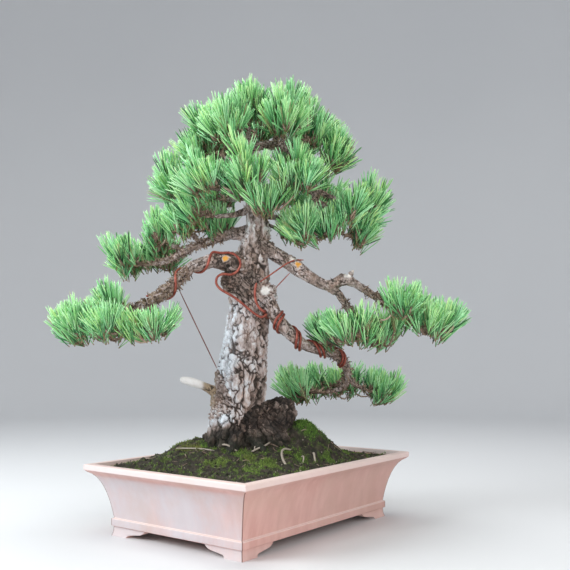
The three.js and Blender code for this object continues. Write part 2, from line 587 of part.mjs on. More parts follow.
// A spray goes on from the cut end of its limb: a stem, with side twigs in a flat fan or all round.
class Spray {
  constructor(name, [length, width, count, flat], seed) {
    this.name = `spray_${name}`;
    this.limb = LIMBS[name];
    this.random = seeded(seed);
    this.flat = flat;
    this.lift = V(0, 0, flat ? 0.5 : 0.28);
    this.twigs = [];
    this.stem = this.stemLine(length);
    this.width = width;
    this.count = count;
  }

  stemLine(length) {
    const { point, along } = this.limb.end();
    const rising = along.clone().add(V(0, 0, this.flat ? 0.12 : 0.1)).normalize();
    const start = point.clone().addScaledVector(along, GAP + 0.05);
    const points = [start, start.clone().addScaledVector(along, 4)];
    return [...points, points[1].clone().addScaledVector(rising, length - 4)];
  }

  // A side twig's middle line, curving up to its tuft
  sideLine(k) {
    const share = 0.2 + (0.72 * k) / this.count;
    const [from, to] = [this.stem[1], this.stem.at(-1)];
    const root = from.clone().lerp(to, share);
    const along = to.clone().sub(from).normalize();
    const level = along.clone().cross(V(0, 0, 1)).normalize();
    const turn = this.flat
      ? Math.PI * (k % 2) + 0.7 * (this.random() - 0.3)
      : 2.4 * k + 0.8 * this.random();
    const across = level.applyAxisAngle(along, turn);
    const lean = THREE.MathUtils.degToRad(62 - 22 * share + 16 * (this.random() - 0.5));
    const away = along.multiplyScalar(Math.cos(lean)).addScaledVector(across, Math.sin(lean));
    const reach = this.width * (1 - 0.35 * share) * (0.85 + 0.3 * this.random());
    const rising = away.clone().addScaledVector(this.lift, 0.5).normalize();
    const end = root.clone().addScaledVector(rising, reach);
    const seatStep = away.clone().addScaledVector(this.lift, 1.6).normalize();
    return [root, end, end.clone().addScaledVector(seatStep, 2.6)];
  }

  growTwigs(crowd) {
    const stemRadii = [this.limb.radius(1) * 0.8, 2.4, 1.6, 1.4];
    this.addTwig(crowd, [...this.stem, this.stemTip()], (i) => stemRadii[i]);
    for (let k = 0; k < this.count; k++) {
      for (let attempt = 0; attempt < 10; attempt++) {
        const line = this.sideLine(k);
        if (!this.hasRoom(crowd, line)) continue;
        this.addTwig(crowd, line, (i) => [1.5, 1.6, 1.4][i]);
        break;
      }
    }
  }

  stemTip() {
    const [before, end] = this.stem.slice(-2);
    return end.clone().addScaledVector(end.clone().sub(before).normalize().add(this.lift).normalize(), 2.6);
  }

  hasRoom(crowd, [root, end, last]) {
    const free = root.clone().lerp(end, 0.4);
    return aboveGround(last)
      && crowd.isClear(root, end, 1.6, 1.6, GAP, this.name)
      && crowd.isClear(free, end, 1.6, 1.6, 1)
      && crowd.isClear(end, last, 2.5, 2.5, 1);
  }

  addTwig(crowd, line, radius) {
    this.twigs.push(new Twig(line, radius, 1));
    crowd.addLine(line, radius, this.name);
  }

  plantNeedles(crowd) {
    this.twigs.forEach((twig) => twig.plant(crowd, this.lift, this.name, this.random));
  }

  solid() {
    return join(this.twigs.map((twig) => twig.solid()));
  }
}

// Sprays on the ends of their limbs: [length, width, side twigs, flat]
const SPRAYS = {
  left_low: [38, 32, 6, true], left_low_near: [24, 28, 3, true], left_low_far: [24, 28, 3, true],
  left_low_top: [20, 24, 3, true], left_low_inner: [22, 24, 3, true],
  left_mid: [58, 36, 6, true], left_mid_top: [24, 24, 3, true], left_mid_far: [26, 26, 3, true],
  left_mid_inner: [20, 24, 3, true],
  right: [58, 34, 6, true], right_up_inner: [24, 26, 3, true], right_up_far: [24, 26, 3, true],
  right_down: [34, 28, 4, true], right_down_out: [24, 26, 4, true], right_down_near: [18, 24, 3, true],
  low_right: [66, 30, 7, true], low_right_out: [42, 32, 5, true], low_right_far: [24, 26, 3, true],
  crown_arch: [30, 26, 4, true], crown_arch_inner: [20, 24, 3, true], crown_arch_left: [12, 20, 2, true],
  top_left: [40, 28, 4, false], top_front: [34, 28, 4, false], top_right: [36, 28, 4, false],
  top_back: [34, 28, 4, false], shoulder_right: [34, 28, 4, false], shoulder_left: [46, 30, 4, false],
  front_upper_left: [42, 30, 4, false], front_upper_right: [40, 30, 4, false],
  back_upper_left: [42, 30, 3, false], back_upper_right: [40, 30, 4, false],
  left_mid_crown: [46, 34, 5, false], right_mid_crown: [54, 34, 5, false],
  front_left: [40, 32, 4, false], front: [40, 32, 4, false], front_right: [40, 32, 4, false],
  back_right: [42, 32, 3, false], back: [42, 32, 3, false], back_left: [40, 32, 3, false],
  right_upper: [34, 28, 4, false], left_under: [40, 30, 4, true], right_under: [34, 28, 3, true],
  front_under: [34, 28, 3, true], back_under: [34, 28, 3, true],
  small_left: [14, 18, 2, true], small_right: [14, 18, 2, true],
};

function fillCrowd(crowd, wires) {
  const limbs = [TRUNK, JIN, ...Object.values(LIMBS), ...[...ROOTS, STUMP].map((path) => new Limb(path))];
  for (const limb of limbs) {
    const points = limb.curve.getPoints(20);
    crowd.addLine(points, (i) => limb.radius(i / 20), "wood");
  }
  for (const [points, radius] of Object.values(wires)) crowd.addLine(points, () => radius, "wire");
}

function makeSprays(wires) {
  const crowd = new Crowd();
  fillCrowd(crowd, wires);
  const sprays = Object.entries(SPRAYS).map(([name, facts], i) => new Spray(name, facts, 100 + i));
  sprays.forEach((spray) => spray.growTwigs(crowd));
  sprays.forEach((spray) => spray.plantNeedles(crowd));
  return sprays;
}

const tree = new THREE.Group();
tree.rotation.z = TREE_TURN;
tree.add(mesh("wood", makeWood(), BARK));

const wires = wireLines();
for (const [name, [points, radius]] of Object.entries(wires)) {
  tree.add(mesh(name, sweep(points, 4, radius), COPPER));
}
for (const spray of makeSprays(wires)) tree.add(mesh(spray.name, spray.solid(), NEEDLES));

const turned = new THREE.Matrix4().makeRotationZ(TREE_TURN);
const hole = solid(geometryOf(makeFoot(GAP + 0.1)).applyMatrix4(turned));
const pot = new THREE.Group();
pot.add(mesh("pot", makePot(), CLAY));
pot.add(mesh("drain_screen_left", makeScreen(-1), PLASTIC));
pot.add(mesh("drain_screen_right", makeScreen(1), PLASTIC));
pot.add(mesh("soil", makeSoil(hole), SOIL));

// The origin goes under the middle of the whole plant.
const bonsai = new THREE.Group();
bonsai.add(pot, tree);
const middle = new THREE.Box3().setFromObject(bonsai, true).getCenter(V(0, 0, 0));
bonsai.position.set(-middle.x, -middle.y, 0);
export default bonsai;
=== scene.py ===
import math

import bmesh
import bpy
import numpy as np
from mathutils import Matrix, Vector, noise
from mathutils.bvhtree import BVHTree
from numpy.linalg import norm, qr


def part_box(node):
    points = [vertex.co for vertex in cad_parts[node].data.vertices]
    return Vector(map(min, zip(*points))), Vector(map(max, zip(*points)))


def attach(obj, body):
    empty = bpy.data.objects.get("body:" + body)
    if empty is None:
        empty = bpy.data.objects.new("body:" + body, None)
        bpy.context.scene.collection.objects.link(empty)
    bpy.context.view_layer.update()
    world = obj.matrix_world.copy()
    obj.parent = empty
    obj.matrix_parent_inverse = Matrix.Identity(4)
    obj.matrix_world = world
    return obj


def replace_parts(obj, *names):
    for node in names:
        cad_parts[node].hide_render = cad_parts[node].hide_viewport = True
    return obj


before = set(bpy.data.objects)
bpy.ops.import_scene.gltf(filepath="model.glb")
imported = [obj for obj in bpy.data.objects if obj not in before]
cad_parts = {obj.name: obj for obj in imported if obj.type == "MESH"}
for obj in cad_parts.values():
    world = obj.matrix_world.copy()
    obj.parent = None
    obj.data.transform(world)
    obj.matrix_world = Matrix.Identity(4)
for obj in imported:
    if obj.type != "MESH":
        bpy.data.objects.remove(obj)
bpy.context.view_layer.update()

MM = 0.001
POT_LOW, POT_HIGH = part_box("pot")
CENTRE = np.array(((POT_LOW.x + POT_HIGH.x) / 2, (POT_LOW.y + POT_HIGH.y) / 2, 0))
TREE_TURN = math.radians(-53)
TURN_COS, TURN_SIN = math.cos(TREE_TURN), math.sin(TREE_TURN)

# The pot's rim, how far in from it the soil's slope, its top and what lies loose end, and the soil's level
POT_LENGTH, POT_WIDTH = 450, 330
SLOPE_INSET, TOP_INSET, LOOSE_INSET = 12, 16.2, 19
HALF_SOIL = np.array((POT_LENGTH / 2 - LOOSE_INSET, POT_WIDTH / 2 - LOOSE_INSET, 1000))
SOIL_EDGE = 101
SOIL_STEP = 3

# Camera of the photograph
IMAGE_SIDE = 570
FOCAL_PIXELS = 784
CAMERA_PLACE = (48, -1325, 281)
CAMERA_TILT = math.radians(5.05)

# Needles, their pairs on a broom of a tuft and of a link, and the stretch of shoot that they stand on, in mm
NEEDLE_LENGTH = 48 * MM
NEEDLE_RADIUS = 0.95 * MM
TUFT_PAIRS, LINK_PAIRS = 6, 5
BROOM_STRETCH = 18

# Tufts this far apart, in mm, are linked, each to this many of those nearest to it
LINK_NEAR, LINK_FAR, LINKED = 18, 86, 4

# Radii of shoots, of spurs on twigs and of spurs on limbs, in mm, and how they change from foot to tip
SHOOT_RADIUS, SPUR_RADIUS, LIMB_SPUR_RADIUS = 1.5, 1.1, 0.95
SHOOT = (1.1, 0.95, 1.1, 1.15, 0.45)
SPUR = (1.1, 1.0, 0.45)

# Cell of the remeshed bark, its lower end in the soil, and the share of its faces that is kept
BARK_CELL = 1.5 * MM
BARK_FOOT = 99 * MM
BARK_KEPT = 0.62

# What rounding takes off the radius of a thick wire and of a guy, in mm
WIRE_GROWTH, GUY_GROWTH = 0.5, 0.25

# The thicker wood: the width of the bark's plates, then the middle line that they run along, in mm
LINES = {
    "trunk": (
        10, (-37, 1, 62), (-35, 0, 150), (-34, 0, 176), (-28, 0, 213), (-20, 0, 302), (-12, 0, 352),
        (-8, 0, 391), (-5, 0, 458), (1, 0, 484), (-3, 0, 536), (-12, 2, 570), (-30, 5, 626),
    ),
    "left_low": (
        6, (-14, -4, 428), (-47, -20, 435), (-68, -30, 437), (-108, -45, 422), (-147, -55, 380),
        (-193, -65, 349), (-227, -74, 332), (-249, -80, 322),
    ),
    "left_mid": (
        4, (-2, 2, 478), (-38, 8, 487), (-55, 14, 484), (-118, 35, 466), (-168, 51, 443), (-186, 55, 440),
    ),
    "right": (
        5, (2, 0, 468), (31, -6, 450), (68, -18, 425), (109, -28, 397), (144, -32, 404), (159, -34, 400),
        (204, -40, 370), (256, -49, 340),
    ),
    "right_down": (3.6, (120, -30, 394), (148, -22, 366), (166, -11, 328), (150, -6, 313)),
    "low_right": (
        5, (-8, -6, 390), (25, -22, 359), (51, -22, 321), (88, -6, 293), (136, 24, 280), (157, 50, 252),
        (152, 78, 224), (122, 88, 214),
    ),
    "arch": (
        3.6, (-28, 5, 618), (-4, 0, 636), (25, -4, 640), (52, -6, 632), (78, -10, 606), (101, -19, 538),
        (115, -22, 508), (131, -21, 489), (147, -19, 482),
    ),
    "jin": (
        5, (-40, 0, 196), (-57, -1, 211), (-73, -4, 221), (-87, -8, 228), (-100, -11, 233), (-126, -14, 240),
    ),
    "stump": (9, (-6, 6, 110), (10, 14, 140), (30, 21, 165), (47, 26, 203)),
    "fore_root": (9, (-8, -2, 168), (20, -10, 149), (40, -14, 130), (54, -18, 106)),
}
LINE_NAMES = list(LINES)

# What sets one line's bark apart from the next, as a stretch along the lines
LINE_STEP = 1000

# Stretches of the limbs that scaly spurs cover: from and to along the line in mm, and how many
SPURS = {
    "left_low": (112, 290, 620), "left_mid": (60, 200, 330), "right": (205, 300, 220),
    "right_down": (40, 120, 150), "low_right": (190, 330, 220), "arch": (0, 330, 380),
}

# Places of cut wood: middle, radius and how orange the cut is
CUTS = (
    ((-50, -42, 439), 6.2, 1), ((70, -33, 429), 6.2, 1), ((61, -20, 436), 8, 0.15),
    ((15, -25, 386), 8.5, 0.04), ((160, -36, 418), 5, 0.3), ((150, -34, 408), 8, 0.1),
)

# Mounds of the soil: middle, reach across and away, and height, in mm
MOUNDS = ((-34, 4, 96, 78, 34), (92, 20, 30, 34, 38), (45, 26, 32, 34, 24), (-120, 10, 42, 40, 9))

# Patches of moss: middle, radius and how yellow
MOSS = (
    (84, 12, 26, 0.05), (104, 22, 20, 0.1), (92, -4, 17, 0.1), (-98, -40, 17, 0.95),
    (-116, -34, 15, 0.9), (-124, 6, 22, 0.6), (-30, -66, 20, 0.35), (-82, -34, 15, 0.25),
    (20, -112, 22, 0.45), (-54, -110, 20, 0.5), (72, -68, 16, 0.3), (0, -142, 20, 0.4),
    (118, -44, 15, 0.3), (-20, 92, 32, 0.3), (62, 108, 34, 0.4), (142, 58, 24, 0.3),
    (-92, 108, 30, 0.5), (0, 168, 26, 0.4), (-6, -88, 14, 0.6), (48, -52, 12, 0.4),
)

# How many grains, leaves of moss and bits of litter
GRAINS, LEAVES, BITS = 2800, 13000, 190

# Roots and twigs that lie on the soil: points as (across, away, height over the soil), radius and paleness
STRAYS = (
    (((-128, -34, 1), (-110, -42, 3), (-86, -53, 3), (-64, -65, 1)), 1.3, 1.0),
    (((-14, -68, -2), (4, -58, 3), (16, -46, 4), (29, -20, 0)), 1.6, 0.85),
    (((0, -60, 0), (-1, -50, 5), (9, -40, 0)), 1.0, 0.85),
    (((52, -114, -2), (44, -94, 4), (42, -74, 8), (47, -56, 7), (62, -40, -2)), 1.9, 0.8),
    (((93, -48, -2), (94, -56, 7), (96, -68, -2)), 1.8, 0.75),
    (((72, -60, -2), (78, -68, 5), (76, -80, -2)), 1.3, 0.75),
    (((-52, -58, 8), (-42, -62, 10), (-28, -64, 2)), 1.7, 0.8),
)


def to_pot(across, away):
    """A place in the tree's frame as x and y in the pot's."""
    return TURN_COS * across - TURN_SIN * away, TURN_SIN * across + TURN_COS * away


def to_tree(x, y):
    """A place in the pot's frame as across and away in the tree's."""
    return TURN_COS * x + TURN_SIN * y, -TURN_SIN * x + TURN_COS * y


def place(across, away, up):
    """A point given in the tree's own frame, in mm, in the row frame."""
    return CENTRE + MM * np.array((*to_pot(across, away), up))


def tree_frame(points):
    """Points of the row frame as across, away and up, in mm."""
    x, y, z = ((points - CENTRE) / MM).T
    return *to_tree(x, y), z


def unit(vectors):
    """Vectors made one long."""
    return vectors / np.maximum(norm(vectors, axis=-1, keepdims=True), 1e-12)


def smoothstep(value, low, high):
    """0 below low, 1 above high, and smooth between."""
    t = np.clip((value - low) / (high - low), 0, 1)
    return t * t * (3 - 2 * t)


def rough(points, size, seed=0):
    """Smooth noise of about -1 to 1 at each point, with lumps of about that size."""
    shift = Vector((13.1 * seed, 7.7 * seed, 3.3 * seed))
    return np.array([noise.noise(Vector(p) / size + shift) for p in points])


def ripple(x, y, size, seed):
    """Such noise at a place of the soil."""
    return noise.noise(Vector((x / size, y / size, seed)))


def marks_of(*marks):
    """Up to four marks, each a number or an array, as four numbers a corner."""
    return np.stack(np.broadcast_arrays(*marks, *[0.0] * (4 - len(marks))), axis=-1).reshape(-1, 4)


class Shape:
    """Triangles gathered for one piece, with a material number a face and four marks a corner."""

    def __init__(self):
        self.points, self.faces, self.kinds, self.marks = [], [], [], []
        self.count = 0

    def add(self, points, faces, kind=0, marks=(0.5, 0, 0, 0)):
        self.points.append(points)
        self.faces.append(faces + self.count)
        self.kinds.append(np.full(len(faces), kind))
        self.marks.append(np.broadcast_to(np.asarray(marks, float), (len(points), 4)))
        self.count += len(points)

    def piece(self, name, *materials):
        mesh = mesh_of(name, np.concatenate(self.points), np.concatenate(self.faces))
        mesh.polygons.foreach_set("material_index", np.concatenate(self.kinds).astype(np.int32))
        layer = mesh.color_attributes.new("mark", "FLOAT_COLOR", "POINT")
        layer.data.foreach_set("color", np.concatenate(self.marks).astype(np.float32).ravel())
        return make_piece(name, mesh, *materials)


def mesh_of(name, points, faces):
    """A smooth mesh from arrays of points and of faces that all have as many corners."""
    mesh = bpy.data.meshes.new(name)
    count, corners = faces.shape
    mesh.vertices.add(len(points))
    mesh.vertices.foreach_set("co", points.astype(np.float32).ravel())
    mesh.loops.add(count * corners)
    mesh.loops.foreach_set("vertex_index", faces.astype(np.int32).ravel())
    mesh.polygons.add(count)
    mesh.polygons.foreach_set("loop_start", np.arange(0, count * corners, corners, dtype=np.int32))
    mesh.polygons.foreach_set("use_smooth", np.ones(count, bool))
    mesh.update(calc_edges=True)
    return mesh


def new_object(name, data):
    """An object of the scene."""
    made = bpy.data.objects.new(name, data)
    bpy.context.scene.collection.objects.link(made)
    return made


def make_piece(name, mesh, *materials):
    """An object of the scene that rides on the plant."""
    made = new_object(name, mesh)
    for material in materials:
        mesh.materials.append(material)
    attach(made, "root")
    return made


def final_mesh(made):
    """A copy of the object's mesh with its modifiers in it."""
    bpy.context.view_layer.update()
    result = made.evaluated_get(bpy.context.evaluated_depsgraph_get())
    return bpy.data.meshes.new_from_object(result)


def rows_of(items, name, kind=np.float32):
    """What a mesh holds under the name, three numbers an item."""
    rows = np.empty(3 * len(items), kind)
    items.foreach_get(name, rows)
    return rows.reshape(-1, 3)


def points_of(mesh):
    return rows_of(mesh.vertices, "co").astype(float)


def triangles_of(mesh):
    mesh.calc_loop_triangles()
    return rows_of(mesh.loop_triangles, "vertices", np.int32)


def solid_of(node):
    """A CAD node's corners, each once, and its triangles."""
    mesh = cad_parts[node].data
    corners, which = np.unique(np.round(points_of(mesh), 5), axis=0, return_inverse=True)
    return corners, which.ravel()[triangles_of(mesh)]


def search_tree(node):
    """A CAD node's faces, for rays and for the nearest place."""
    corners, triangles = solid_of(node)
    return BVHTree.FromPolygons(corners.tolist(), triangles.tolist())


def reshaped(points, faces, *modifiers):
    """Points, triangles and normals of a mesh after some modifiers, each a type and its settings."""
    made = new_object("work", mesh_of("work", points, faces))
    for kind, settings in modifiers:
        modifier = made.modifiers.new(kind, kind)
        for key, value in settings.items():
            setattr(modifier, key, value)
    mesh = final_mesh(made)
    bpy.data.objects.remove(made)
    triangles = triangles_of(mesh)
    return points_of(mesh), triangles, rows_of(mesh.vertex_normals, "vector").astype(float)


def quads(rows, columns, closed=False):
    """Faces of a grid of points, row by row, whose rows may be closed rings."""
    step = np.arange(columns if closed else columns - 1)
    row = np.arange(rows - 1)[:, None] * columns
    a, b = (row + step).ravel(), (row + (step + 1) % columns).ravel()
    return np.stack((a, b, b + columns, a + columns), axis=1)


def tubes(lines, radii, sides, tip=False):
    """Tubes along lines, an array of tube by ring by three. With a tip the last ring is one point."""
    count, rings = radii.shape
    along = unit(np.gradient(lines, axis=1))
    side = unit(np.cross(along, (0.31, -0.52, 0.79)))
    up = np.cross(along, side)
    turn = np.arange(sides) * 2 * math.pi / sides
    around = np.cos(turn)[:, None] * side[:, :, None] + np.sin(turn)[:, None] * up[:, :, None]
    ring_points = lines[:, :, None] + radii[:, :, None, None] * around
    whole = rings - 1 if tip else rings
    points = ring_points[:, :whole].reshape(count, -1, 3)
    faces = quads(whole, sides, True)[:, (0, 1, 2, 0, 2, 3)].reshape(-1, 3)
    if tip:
        points = np.concatenate((points, lines[:, -1:]), axis=1)
        last = [(j, (j + 1) % sides, sides) for j in range(sides)]
        faces = np.concatenate((faces, np.array(last) + (whole - 1) * sides))
    size = points.shape[1]
    faces = faces[None] + size * np.arange(count)[:, None, None]
    return points.reshape(-1, 3), faces.reshape(-1, 3), size


# Materials


class Paint:
    """A node material, built one step at a time on the Principled shader."""

    def __init__(self, name, **finish):
        self.material = bpy.data.materials.new(name)
        self.material.use_nodes = True
        self.tree = self.material.node_tree
        self.shader = self.tree.nodes["Principled BSDF"]
        for socket, value in finish.items():
            self.shader.inputs[socket.replace("_", " ")].default_value = value
        self.where = self.tree.nodes.new("ShaderNodeTexCoord").outputs["Object"]

    def node(self, kind, inputs, **settings):
        made = self.tree.nodes.new("ShaderNode" + kind)
        for key, value in settings.items():
            setattr(made, key, value)
        for key, value in inputs.items():
            if isinstance(value, bpy.types.NodeSocket):
                self.tree.links.new(value, made.inputs[key])
            else:
                made.inputs[key].default_value = value
        return made

    def noise(self, scale, detail=4, roughness=0.55, stretch=None):
        """Noise of 0 to 1, with lumps of 1 / scale metres."""
        where = self.where
        if stretch:
            where = self.node("Mapping", {"Vector": where, "Scale": stretch}).outputs[0]
        inputs = {"Vector": where, "Scale": scale, "Detail": detail, "Roughness": roughness}
        return self.node("TexNoise", inputs).outputs["Fac"]

    def marks(self):
        """The four marks of the mesh."""
        read = self.node("Attribute", {}, attribute_name="mark")
        parts = self.node("SeparateColor", {"Color": read.outputs["Color"]})
        return (*parts.outputs, read.outputs["Alpha"])

    def ramp(self, value, *stops):
        """A colour for the value; each stop is a place and a colour."""
        made = self.node("ValToRGB", {"Fac": value})
        colours = made.color_ramp.elements
        while len(colours) < len(stops):
            colours.new(0.5)
        for element, (position, colour) in zip(colours, stops):
            element.position = position
            element.color = (*colour, 1)
        return made.outputs["Color"]

    def mix(self, share, first, second, blend="MIX"):
        colours = [(*c, 1) if isinstance(c, tuple) else c for c in (first, second)]
        made = self.node("Mix", {0: share, 6: colours[0], 7: colours[1]}, data_type="RGBA", blend_type=blend)
        return made.outputs[2]

    def math(self, operation, first, second=0.0, third=0.0):
        return self.node("Math", {0: first, 1: second, 2: third}, operation=operation).outputs[0]

    def times(self, first, second):
        return self.math("MULTIPLY", first, second)

    def between(self, value, low, high, start=0.0, end=1.0):
        """The value's way from low to high, smooth, as a number from start to end."""
        inputs = {0: value, 1: low, 2: high, 3: start, 4: end}
        return self.node("MapRange", inputs, interpolation_type="SMOOTHSTEP").outputs[0]

    def finish(self, colour, roughness=None, bump=None, depth=1.0, strength=0.5):
        """Sets the colour, the roughness and a bump whose height is in mm."""
        self.tree.links.new(colour, self.shader.inputs["Base Color"])
        if roughness is not None:
            self.tree.links.new(roughness, self.shader.inputs["Roughness"])
        if bump is not None:
            inputs = {"Height": bump, "Distance": depth * MM, "Strength": strength}
            self.tree.links.new(self.node("Bump", inputs).outputs[0], self.shader.inputs["Normal"])
        return self.material


def needle_material():
    """Marks: tone of the needle, way along it, share of brown, how yellow."""
    paint = Paint("pine_needles", Roughness=0.45, Coat_Weight=0.06, Specular_IOR_Level=0.35)
    tone, along, brown, yellow = paint.marks()
    green = paint.ramp(
        tone,
        (0.0, (0.008, 0.055, 0.02)), (0.22, (0.04, 0.23, 0.08)),
        (0.52, (0.23, 0.65, 0.29)), (1.0, (0.55, 0.96, 0.58)),
    )
    green = paint.mix(yellow, green, (1.5, 1.05, 0.45), "MULTIPLY")
    tips = paint.mix(paint.between(along, 0.6, 1.0, 0.0, 0.15), green, (0.6, 0.9, 0.45))
    # Painted shade: the lower part of each needle turns near-black green, standing in for the shadow deep
    # inside the tuft.
    shade = paint.mix(paint.between(along, 0.05, 0.45, 0.55, 0.0), tips, (0.01, 0.04, 0.015))
    base = paint.mix(paint.between(along, 0.02, 0.14, 1.0, 0.0), shade, (0.26, 0.17, 0.09))
    colour = paint.mix(brown, base, (0.3, 0.2, 0.1))
    stripe = paint.noise(900, 2, 0.5)
    return paint.finish(paint.mix(0.25, colour, stripe, "OVERLAY"), bump=stripe, depth=0.15, strength=0.3)


def shoot_material():
    """Marks: tone, greyness."""
    paint = Paint("scaly_shoots", Roughness=0.85)
    tone, grey, _, _ = paint.marks()
    blotch = paint.noise(260, 5, 0.65)
    shade = paint.math("ADD", paint.times(tone, 0.6), paint.times(blotch, 0.6))
    brown = paint.ramp(
        shade,
        (0.22, (0.03, 0.02, 0.014)), (0.46, (0.15, 0.1, 0.07)),
        (0.7, (0.36, 0.26, 0.19)), (1.0, (0.62, 0.5, 0.4)),
    )
    colour = paint.mix(grey, brown, (0.42, 0.37, 0.31))
    return paint.finish(colour, bump=paint.noise(700, 4, 0.7), depth=0.7, strength=0.8)


def bark_material():
    """Marks: crack, tone, bare wood, tint. The tint is orange on bare wood; on bark, above 0 it is painted
    cool light on the lit side, below 0 tan.
    """
    paint = Paint("flaking_bark", Roughness=0.92)
    crack, tone, pale, tint = paint.marks()
    flakes = paint.noise(210, 6, 0.72, (1, 1, 0.4))
    fine = paint.noise(1000, 4, 0.7)
    blotch = paint.noise(60, 4, 0.6)
    uneven = paint.math("MULTIPLY_ADD", flakes, 0.85, -0.17)
    brown = paint.ramp(
        paint.math("MULTIPLY_ADD", tone, 0.62, uneven),
        (0.1, (0.014, 0.011, 0.01)), (0.34, (0.09, 0.068, 0.056)), (0.52, (0.28, 0.215, 0.185)),
        (0.68, (0.52, 0.44, 0.42)), (0.84, (0.72, 0.72, 0.74)), (0.98, (0.92, 0.96, 1.0)),
    )
    warm = paint.mix(paint.between(blotch, 0.42, 0.66, 0.0, 0.7), brown, (1.0, 0.84, 0.74), "MULTIPLY")
    # Painted light: where the tint is above 0 the bark turns a little bluer, the colour of the cool lamp on
    # the lit side.
    cool_lit_side = paint.mix(tint, warm, paint.mix(1.0, brown, (0.97, 1.0, 1.03), "MULTIPLY"))
    tan = paint.mix(paint.times(tint, -0.8), cool_lit_side, (0.44, 0.34, 0.22))
    worn = paint.mix(paint.between(fine, 0.55, 0.8, 0.0, 0.22), tan, (0.85, 0.84, 0.82))
    mossy = paint.mix(paint.times(damp_foot(paint), 0.5), worn, (0.02, 0.03, 0.014))
    # Cracks go near black: partly the dark bark in them, partly painted shade in the crevices.
    dark_shaded_cracks = paint.mix(paint.between(crack, 0.2, 0.8, 0.0, 0.85), mossy, (0.028, 0.021, 0.017))
    wood = paint.mix(paint.noise(120, 4, 0.6, (3, 3, 0.4)), (0.85, 0.82, 0.78), (1.0, 1.0, 1.0))
    cut = paint.mix(tint, wood, (0.72, 0.34, 0.06))
    height = paint.math("MULTIPLY_ADD", fine, 0.5, flakes)
    return paint.finish(paint.mix(pale, dark_shaded_cracks, cut), bump=height, depth=2.0, strength=0.9)


def damp_foot(paint):
    """1 on the damp foot of the wood, where moss and algae start, in patches."""
    up = paint.node("SeparateXYZ", {"Vector": paint.where}).outputs[2]
    ragged = paint.math("MULTIPLY_ADD", paint.noise(45, 4, 0.65), 0.07, up)
    return paint.between(ragged, 0.165, 0.2, 1.0, 0.0)


def clay_material():
    """Mottled clay with pale edges, an inner wall darkened with painted shade and dark lines where two walls
    meet.
    """
    paint = Paint("pale_clay", Roughness=0.68)
    axes = paint.node("SeparateXYZ", {"Vector": paint.where}).outputs
    streaks = paint.between(paint.noise(60, 5, 0.6, (1, 1, 0.1)), 0.35, 0.7)
    cloud = paint.noise(5, 4, 0.55)
    grit = paint.noise(1100, 3, 0.6)
    inner_wall_shade, corner_line = inner_shade_and_corner_lines(paint, axes)
    layers = (
        (paint.between(cloud, 0.35, 0.7, 0.0, 0.4), (0.7, 0.5, 0.455)),
        # Painted sheen: a pale bluish cast on the short walls, partly mineral bloom.
        (paint.times(bloom_and_sheen(paint), 0.72), (0.57, 0.595, 0.64)),
        (paint.between(paint.noise(9, 5, 0.6), 0.42, 0.7, 0.0, 0.4), (0.54, 0.35, 0.28)),
        (paint.between(grit, 0.64, 0.8, 0.0, 0.35), (0.42, 0.25, 0.2)),
        # Pale lip and belt: partly wear, partly painted highlight on the rounded edges.
        (paint.times(worn_and_highlit_edges(paint, axes[2]), 0.6), (0.88, 0.76, 0.72)),
        # Painted shade: the inner wall between the rim and the soil is darkened to orange-brown.
        (paint.times(inner_wall_shade, 0.85), (0.38, 0.2, 0.12)),
        (paint.times(corner_line, 0.85), (0.14, 0.06, 0.04)),
    )
    body = paint.mix(streaks, (0.62, 0.34, 0.295), (0.7, 0.42, 0.37))
    for share, colour in layers:
        body = paint.mix(share, body, colour)
    return paint.finish(body, paint.between(cloud, 0.2, 0.8, 0.6, 0.8), grit, 0.25, 0.5)


def bloom_and_sheen(paint):
    """A pale, bluish cast, mostly on the two short walls: partly mineral bloom, partly painted sheen of the
    cool lamp's light.
    """
    normal = paint.node("TexCoord", {}).outputs["Normal"]
    facing = paint.math("ABSOLUTE", paint.node("SeparateXYZ", {"Vector": normal}).outputs[0])
    ragged = paint.between(paint.noise(16, 5, 0.65, (1, 1, 0.5)), 0.2, 0.62, 0.45, 1.0)
    return paint.times(paint.between(facing, 0.5, 0.85), ragged)


def worn_and_highlit_edges(paint, up):
    """1 on the lip and the belt, and less on the feet: pale edges that are partly wear and partly painted
    highlight.
    """
    lip = paint.between(up, 0.1005, 0.1025)
    belt = paint.math("SUBTRACT", paint.between(up, 0.0245, 0.026), paint.between(up, 0.0275, 0.028))
    foot = paint.between(up, 0.02, 0.004, 0.0, 0.35)
    return paint.math("MAXIMUM", paint.math("MAXIMUM", lip, belt), foot)


def inner_shade_and_corner_lines(paint, axes):
    """1 on the face between the rim and the soil, where it paints shade, and 1 on the thin line where two
    walls meet.
    """
    inward = []
    for axis, middle, side in zip(axes, CENTRE, (POT_LENGTH, POT_WIDTH)):
        out = paint.math("ABSOLUTE", paint.math("SUBTRACT", axis, float(middle)))
        inward.append(paint.math("SUBTRACT", side / 2 * MM, out))
    inside = paint.between(paint.math("MINIMUM", *inward), 0.0122, 0.0135)
    apart = paint.math("ABSOLUTE", paint.math("SUBTRACT", *inward))
    line = paint.between(apart, 0.0004, 0.0016, 1.0, 0.0)
    over_soil = paint.between(axes[2], 0.094, 0.099)
    under_rim = paint.between(axes[2], 0.1, 0.099)
    return paint.times(inside, over_soil), paint.times(line, under_rim)


